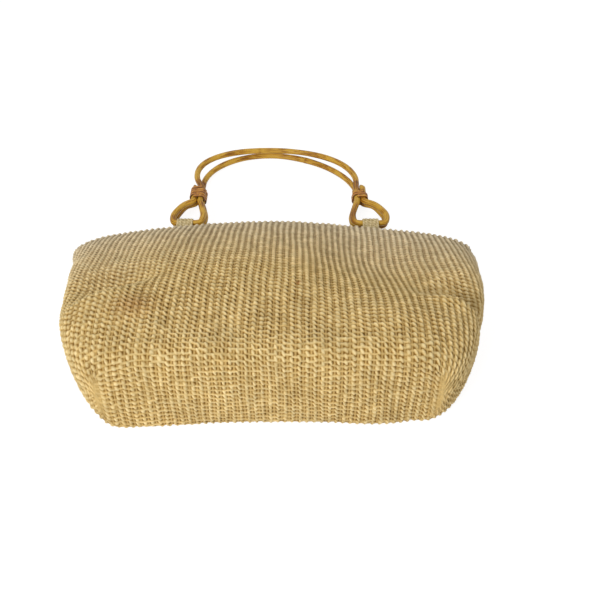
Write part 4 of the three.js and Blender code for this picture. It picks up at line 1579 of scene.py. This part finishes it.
    def tab_path(self, arch: Arch) -> Array:
        """Middle line of a tab from its side: a teardrop round the bar with a bent stem of two plies."""
        reach, half = arch.reach, self.tab_half * self.tab_ply
        eye = self.cane / 2 + self.tab_clear + self.tab_ply / 2
        bend = math.radians(arch.bend)
        inner = np.array([-reach - self.tab_stem * math.cos(bend), self.tab_stem * math.sin(bend)])
        normal = np.array([math.sin(bend), math.cos(bend)])
        fold = np.array([-reach, 0.0])
        neck, neck_height = self.tab_neck
        upper = [
            inner + normal * half, (inner + fold) / 2 + normal * half, fold + [0, half],
            [-reach * self.tab_meet, half], [-eye - neck, neck_height * eye],
        ]
        lower = [[x, -y] for x, y in reversed(upper[2:])]
        lower += [(inner + fold) / 2 - normal * half, inner - normal * half]
        angle = np.radians(self.tab_round)
        ring = np.stack([np.cos(angle), np.sin(angle)], 1) * eye
        return smooth_path(np.concatenate([np.array(upper), ring, np.array(lower)]), self.tab_step)

    def tab_surface(self, arch: Arch, hand: Hand) -> Surface:
        """A woven strap, folded round the loop's bar and sewn inside the mouth.

        A flat section of the strap's width is carried along the tab's path. Its weave is raised on the
        outer face.

        Args:
            arch: the handle.
            hand: the end.

        Returns:
            The closed strap.
        """
        ply, weave = self.tab_ply, self.tab_weave
        path = self.tab_path(arch)
        ahead = unit(np.gradient(path, axis=0))
        out = np.stack([-ahead[:, 1], ahead[:, 0]], axis=1)
        columns = np.linspace(-self.tab_width / 2, self.tab_width / 2, self.tab_columns)
        across, along = np.broadcast_arrays(columns[None], path_lengths(path)[:, None])
        height, openness, tone = weave.relief(across, along)
        lift = ply / 2 - self.tab_sink + (height - 0.5) * weave.depth
        edge = 1 - np.abs(columns / columns[-1]) ** self.tab_power
        faces = []
        for offset in (lift * edge, -ply / 2 * edge * np.ones_like(lift)):
            flat = path[:, None] + out[:, None] * offset[..., None]
            faces.append(np.stack([across, flat[..., 0], flat[..., 1]], axis=-1))
        made = closed_sheet(
            # the strap's painted shade and light come from the openness
            *faces, (1, 1), uv=np.stack([across, along], axis=-1), relief=openness, tone=tone,
            # an even share of painted sheen
            bleach=self.tab_bleach + 0 * tone,
        )
        rise = self.slope(arch) + math.radians(arch.bend)
        made.points = self.turned(made.points, rise) + [hand.value * self.tab_place, *arch.bar]
        return made

    def slope(self, arch: Arch) -> float:
        """Slope of the cloth along a tab's stem, in radians."""
        if arch.side is Side.BACK:
            return 0.0
        shape = self.shape
        x = np.array([self.tab_place + self.tab_width / 2])
        ends = [np.array([shape.length]), np.array([shape.length - self.tab_stem])]
        z = [float(shape.front_height(x, y)[0]) for y in ends]
        y = [float(shape.bowed(Side.FRONT, x, v)[0]) for v in ends]
        return math.atan2(z[0] - z[1], y[0] - y[1])

    @staticmethod
    def turned(points: Array, angle: float) -> Array:
        """Turn points about X."""
        c, s = math.cos(angle), math.sin(angle)
        return points @ np.array([[1, 0, 0], [0, c, s], [0, -s, c]])

    def build(self, arch: Arch, cane: Finish, leather: Finish, strap: Finish) -> list[Piece]:
        """Make a handle, its two lacings and its two tabs.

        Args:
            arch: the handle.
            cane: its finish.
            leather: the lacings' finish.
            strap: the tabs' finish.

        Returns:
            The pieces.
        """
        name = arch.side.word
        parts = [(self.cane_surface(arch), f"{name}_cane", cane, "cane", f"{name}_handle")]
        for hand in Hand:
            lace = self.lace_surface(hand, arch.seed + hand.value)
            end = f"{name}_{hand.word}"
            parts.append((lace, f"{end}_thong", leather, "leather", f"{end}_lacing"))
        tilt = math.asin((arch.top_height - arch.bar[1]) / arch.length)
        made = []
        for surface, title, material, slot, node in parts:
            surface.points = self.turned(surface.points, tilt) + [0, *arch.bar]
            piece = surface.to_object(title, material)
            attach(piece, f"{name}_grip", node)
            made.append(piece)
        for hand in Hand:
            title = f"{name}_{hand.word}"
            piece = self.tab_surface(arch, hand).to_object(f"{title}_strap", strap)
            attach(piece, "bag", f"{title}_tab")
            made.append(piece)
        return made


@dataclass(frozen=True)
class PackedPieces:
    """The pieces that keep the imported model's own shape and only take a finish."""

    board: tuple[str, ...] = ("base_board",)
    snap: tuple[str, ...] = ("snap_stud", "snap_socket")

    @staticmethod
    def dress(names: tuple[str, ...], material: Finish) -> list[Piece]:
        """Give the named pieces their finish, and return them."""
        made = [frame["nodes"][name] for name in names]
        for piece in made:
            piece.data.materials.clear()
            piece.data.materials.append(material)
        return made


# The studio


@dataclass(frozen=True)
class Lamp:
    """A square soft lamp."""

    name: str
    place: tuple[float, float, float]  # metres
    size: float  # its side, metres
    power: float  # watts

    def build(self, target: tuple[float, float, float]) -> Piece:
        """Hang the lamp, looking at the target."""
        data = bpy.data.lights.new(self.name, "AREA")
        data.size = self.size
        data.energy = self.power
        made = bpy.data.objects.new(self.name, data)
        made.location = self.place
        aim = np.array(target) - np.array(self.place)
        flat = math.hypot(aim[0], aim[1])
        made.rotation_euler = (math.atan2(flat, -aim[2]), 0, math.atan2(-aim[0], aim[1]))
        bpy.context.scene.collection.objects.link(made)
        return made


@dataclass
class Studio:
    """A white floor, soft lamps and the camera."""

    camera_place: tuple[float, float, float] = (25.2, -396.0, 504.0)
    pitch: float = 42.0  # degrees below level
    lens: float = 43.5
    sensor: float = 36.0
    nearest: float = 10.0  # that the camera shows
    floor_half: float = 6.0  # metres
    floor_drop: float = 0.5  # under the bag
    white: str = "#FFFFFF"
    paper: str = "#F4F3F1"
    glow: float = 1.2  # of the floor, as the eye sees it
    glow_share: float = 0.75  # the rest is paper, which takes the shadow
    light: float = 0.33  # from all around
    target: tuple[float, float, float] = (0.0, -0.1, 0.04)  # of the lamps, metres
    lamps: tuple[Lamp, ...] = (
        Lamp("key", (-0.75, -1.33, 1.0), 0.5, 18.0),
        Lamp("fill", (1.2, -0.8, 1.1), 1.2, 3.6),
        Lamp("top", (0.1, 0.7, 1.7), 1.4, 6.4),
    )

    def build_camera(self) -> Piece:
        """The photograph's camera: level from side to side, looking along Y and down."""
        data = bpy.data.cameras.new("camera")
        data.lens = self.lens
        data.sensor_width = self.sensor
        data.clip_start = self.nearest * MM
        made = bpy.data.objects.new("camera", data)
        made.location = (np.array(self.camera_place) + ORIGIN) * MM
        made.rotation_euler = (math.radians(90 - self.pitch), 0, 0)
        bpy.context.scene.collection.objects.link(made)
        bpy.context.scene.camera = made
        return made

    @staticmethod
    def seen(tree: Tree) -> bpy.types.Node:
        """1 for rays by which the eye sees a surface, straight, mirrored or through glass, else 0."""
        path = add_node(tree, "ShaderNodeLightPath")
        seen = path.outputs["Is Camera Ray"]
        for ray in ("Is Glossy Ray", "Is Transmission Ray"):
            seen = add_node(tree, "ShaderNodeMath", {0: seen, 1: path.outputs[ray]}, operation="MAXIMUM")
        return seen

    def build_floor(self) -> Piece:
        """A plain white floor that still takes the object's shadow."""
        material, tree = new_material("white_paper")
        paper = add_node(tree, "ShaderNodeBsdfDiffuse", {"Color": linear(self.paper)})
        glow = add_node(tree, "ShaderNodeEmission", {"Color": linear(self.white), "Strength": self.glow})
        share = add_node(
            tree, "ShaderNodeMath", {0: self.seen(tree), 1: self.glow_share}, operation="MULTIPLY",
        )
        both = add_node(tree, "ShaderNodeMixShader", {0: share, 1: paper, 2: glow})
        add_node(tree, "ShaderNodeOutputMaterial", {"Surface": both})
        mesh = bpy.data.meshes.new("floor")
        half = self.floor_half
        corners = [(-half, -half, 0), (half, -half, 0), (half, half, 0), (-half, half, 0)]
        mesh.from_pydata(corners, [], [(0, 1, 2, 3)])
        mesh.materials.append(material)
        floor = bpy.data.objects.new("floor", mesh)
        floor.location.z = -self.floor_drop * MM
        bpy.context.scene.collection.objects.link(floor)
        return floor

    def build_world(self) -> None:
        """White to the camera, a plain grey-white light to the object."""
        world = bpy.data.worlds.new("studio")
        bpy.context.scene.world = world
        world.use_nodes = True
        tree = world.node_tree
        tree.nodes.clear()
        strength = add_node(
            tree, "ShaderNodeMapRange", {"Value": self.seen(tree), "To Min": self.light, "To Max": 1.0},
        )
        light = add_node(
            tree, "ShaderNodeBackground", {"Color": linear(self.white), "Strength": strength},
        )
        add_node(tree, "ShaderNodeOutputWorld", {"Surface": light})

    def build(self) -> None:
        """Set up the whole studio."""
        bpy.context.scene.view_settings.view_transform = "Standard"
        self.build_camera()
        self.build_floor()
        self.build_world()
        for lamp in self.lamps:
            lamp.build(self.target)


def main() -> None:
    """Build the studio and every piece of the bag, and report each piece."""
    logging.basicConfig(level=logging.INFO, format="%(message)s")
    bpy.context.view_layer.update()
    Studio().build()
    jute = WovenJute().build()
    # the strap's colours by openness: painted shade up to the thread, painted light on the crowns
    strap = WovenJute(
        name="woven_jute_strap", pits="#7A6238", shade="#A88F5C", thread="#C4AE7C", crown="#D6C495",
    ).build()
    cotton = CottonCloth().build()
    body = Body()
    pieces = body.build_panel(Side.FRONT, body.front_cell, jute)
    pieces += body.build_panel(Side.BACK, body.back_cell, jute)
    pieces += [body.build_base(jute)] + body.build_facings(jute)
    pieces += [body.build_lining(cotton)] + body.build_tapes(cotton)
    packed = PackedPieces()
    pieces += packed.dress(packed.board, GreyBoard().build())
    handles = Handles(body.shape)
    cane, leather = VarnishedCane().build(), LacingLeather().build()
    for arch in handles.arches:
        pieces += handles.build(arch, cane, leather, strap)
    pieces += packed.dress(packed.snap, StampedBrass().build())
    for piece in pieces:
        LOG.info("%s: %d faces", piece.name, len(piece.data.polygons))


if __name__ == "__main__":
    main()
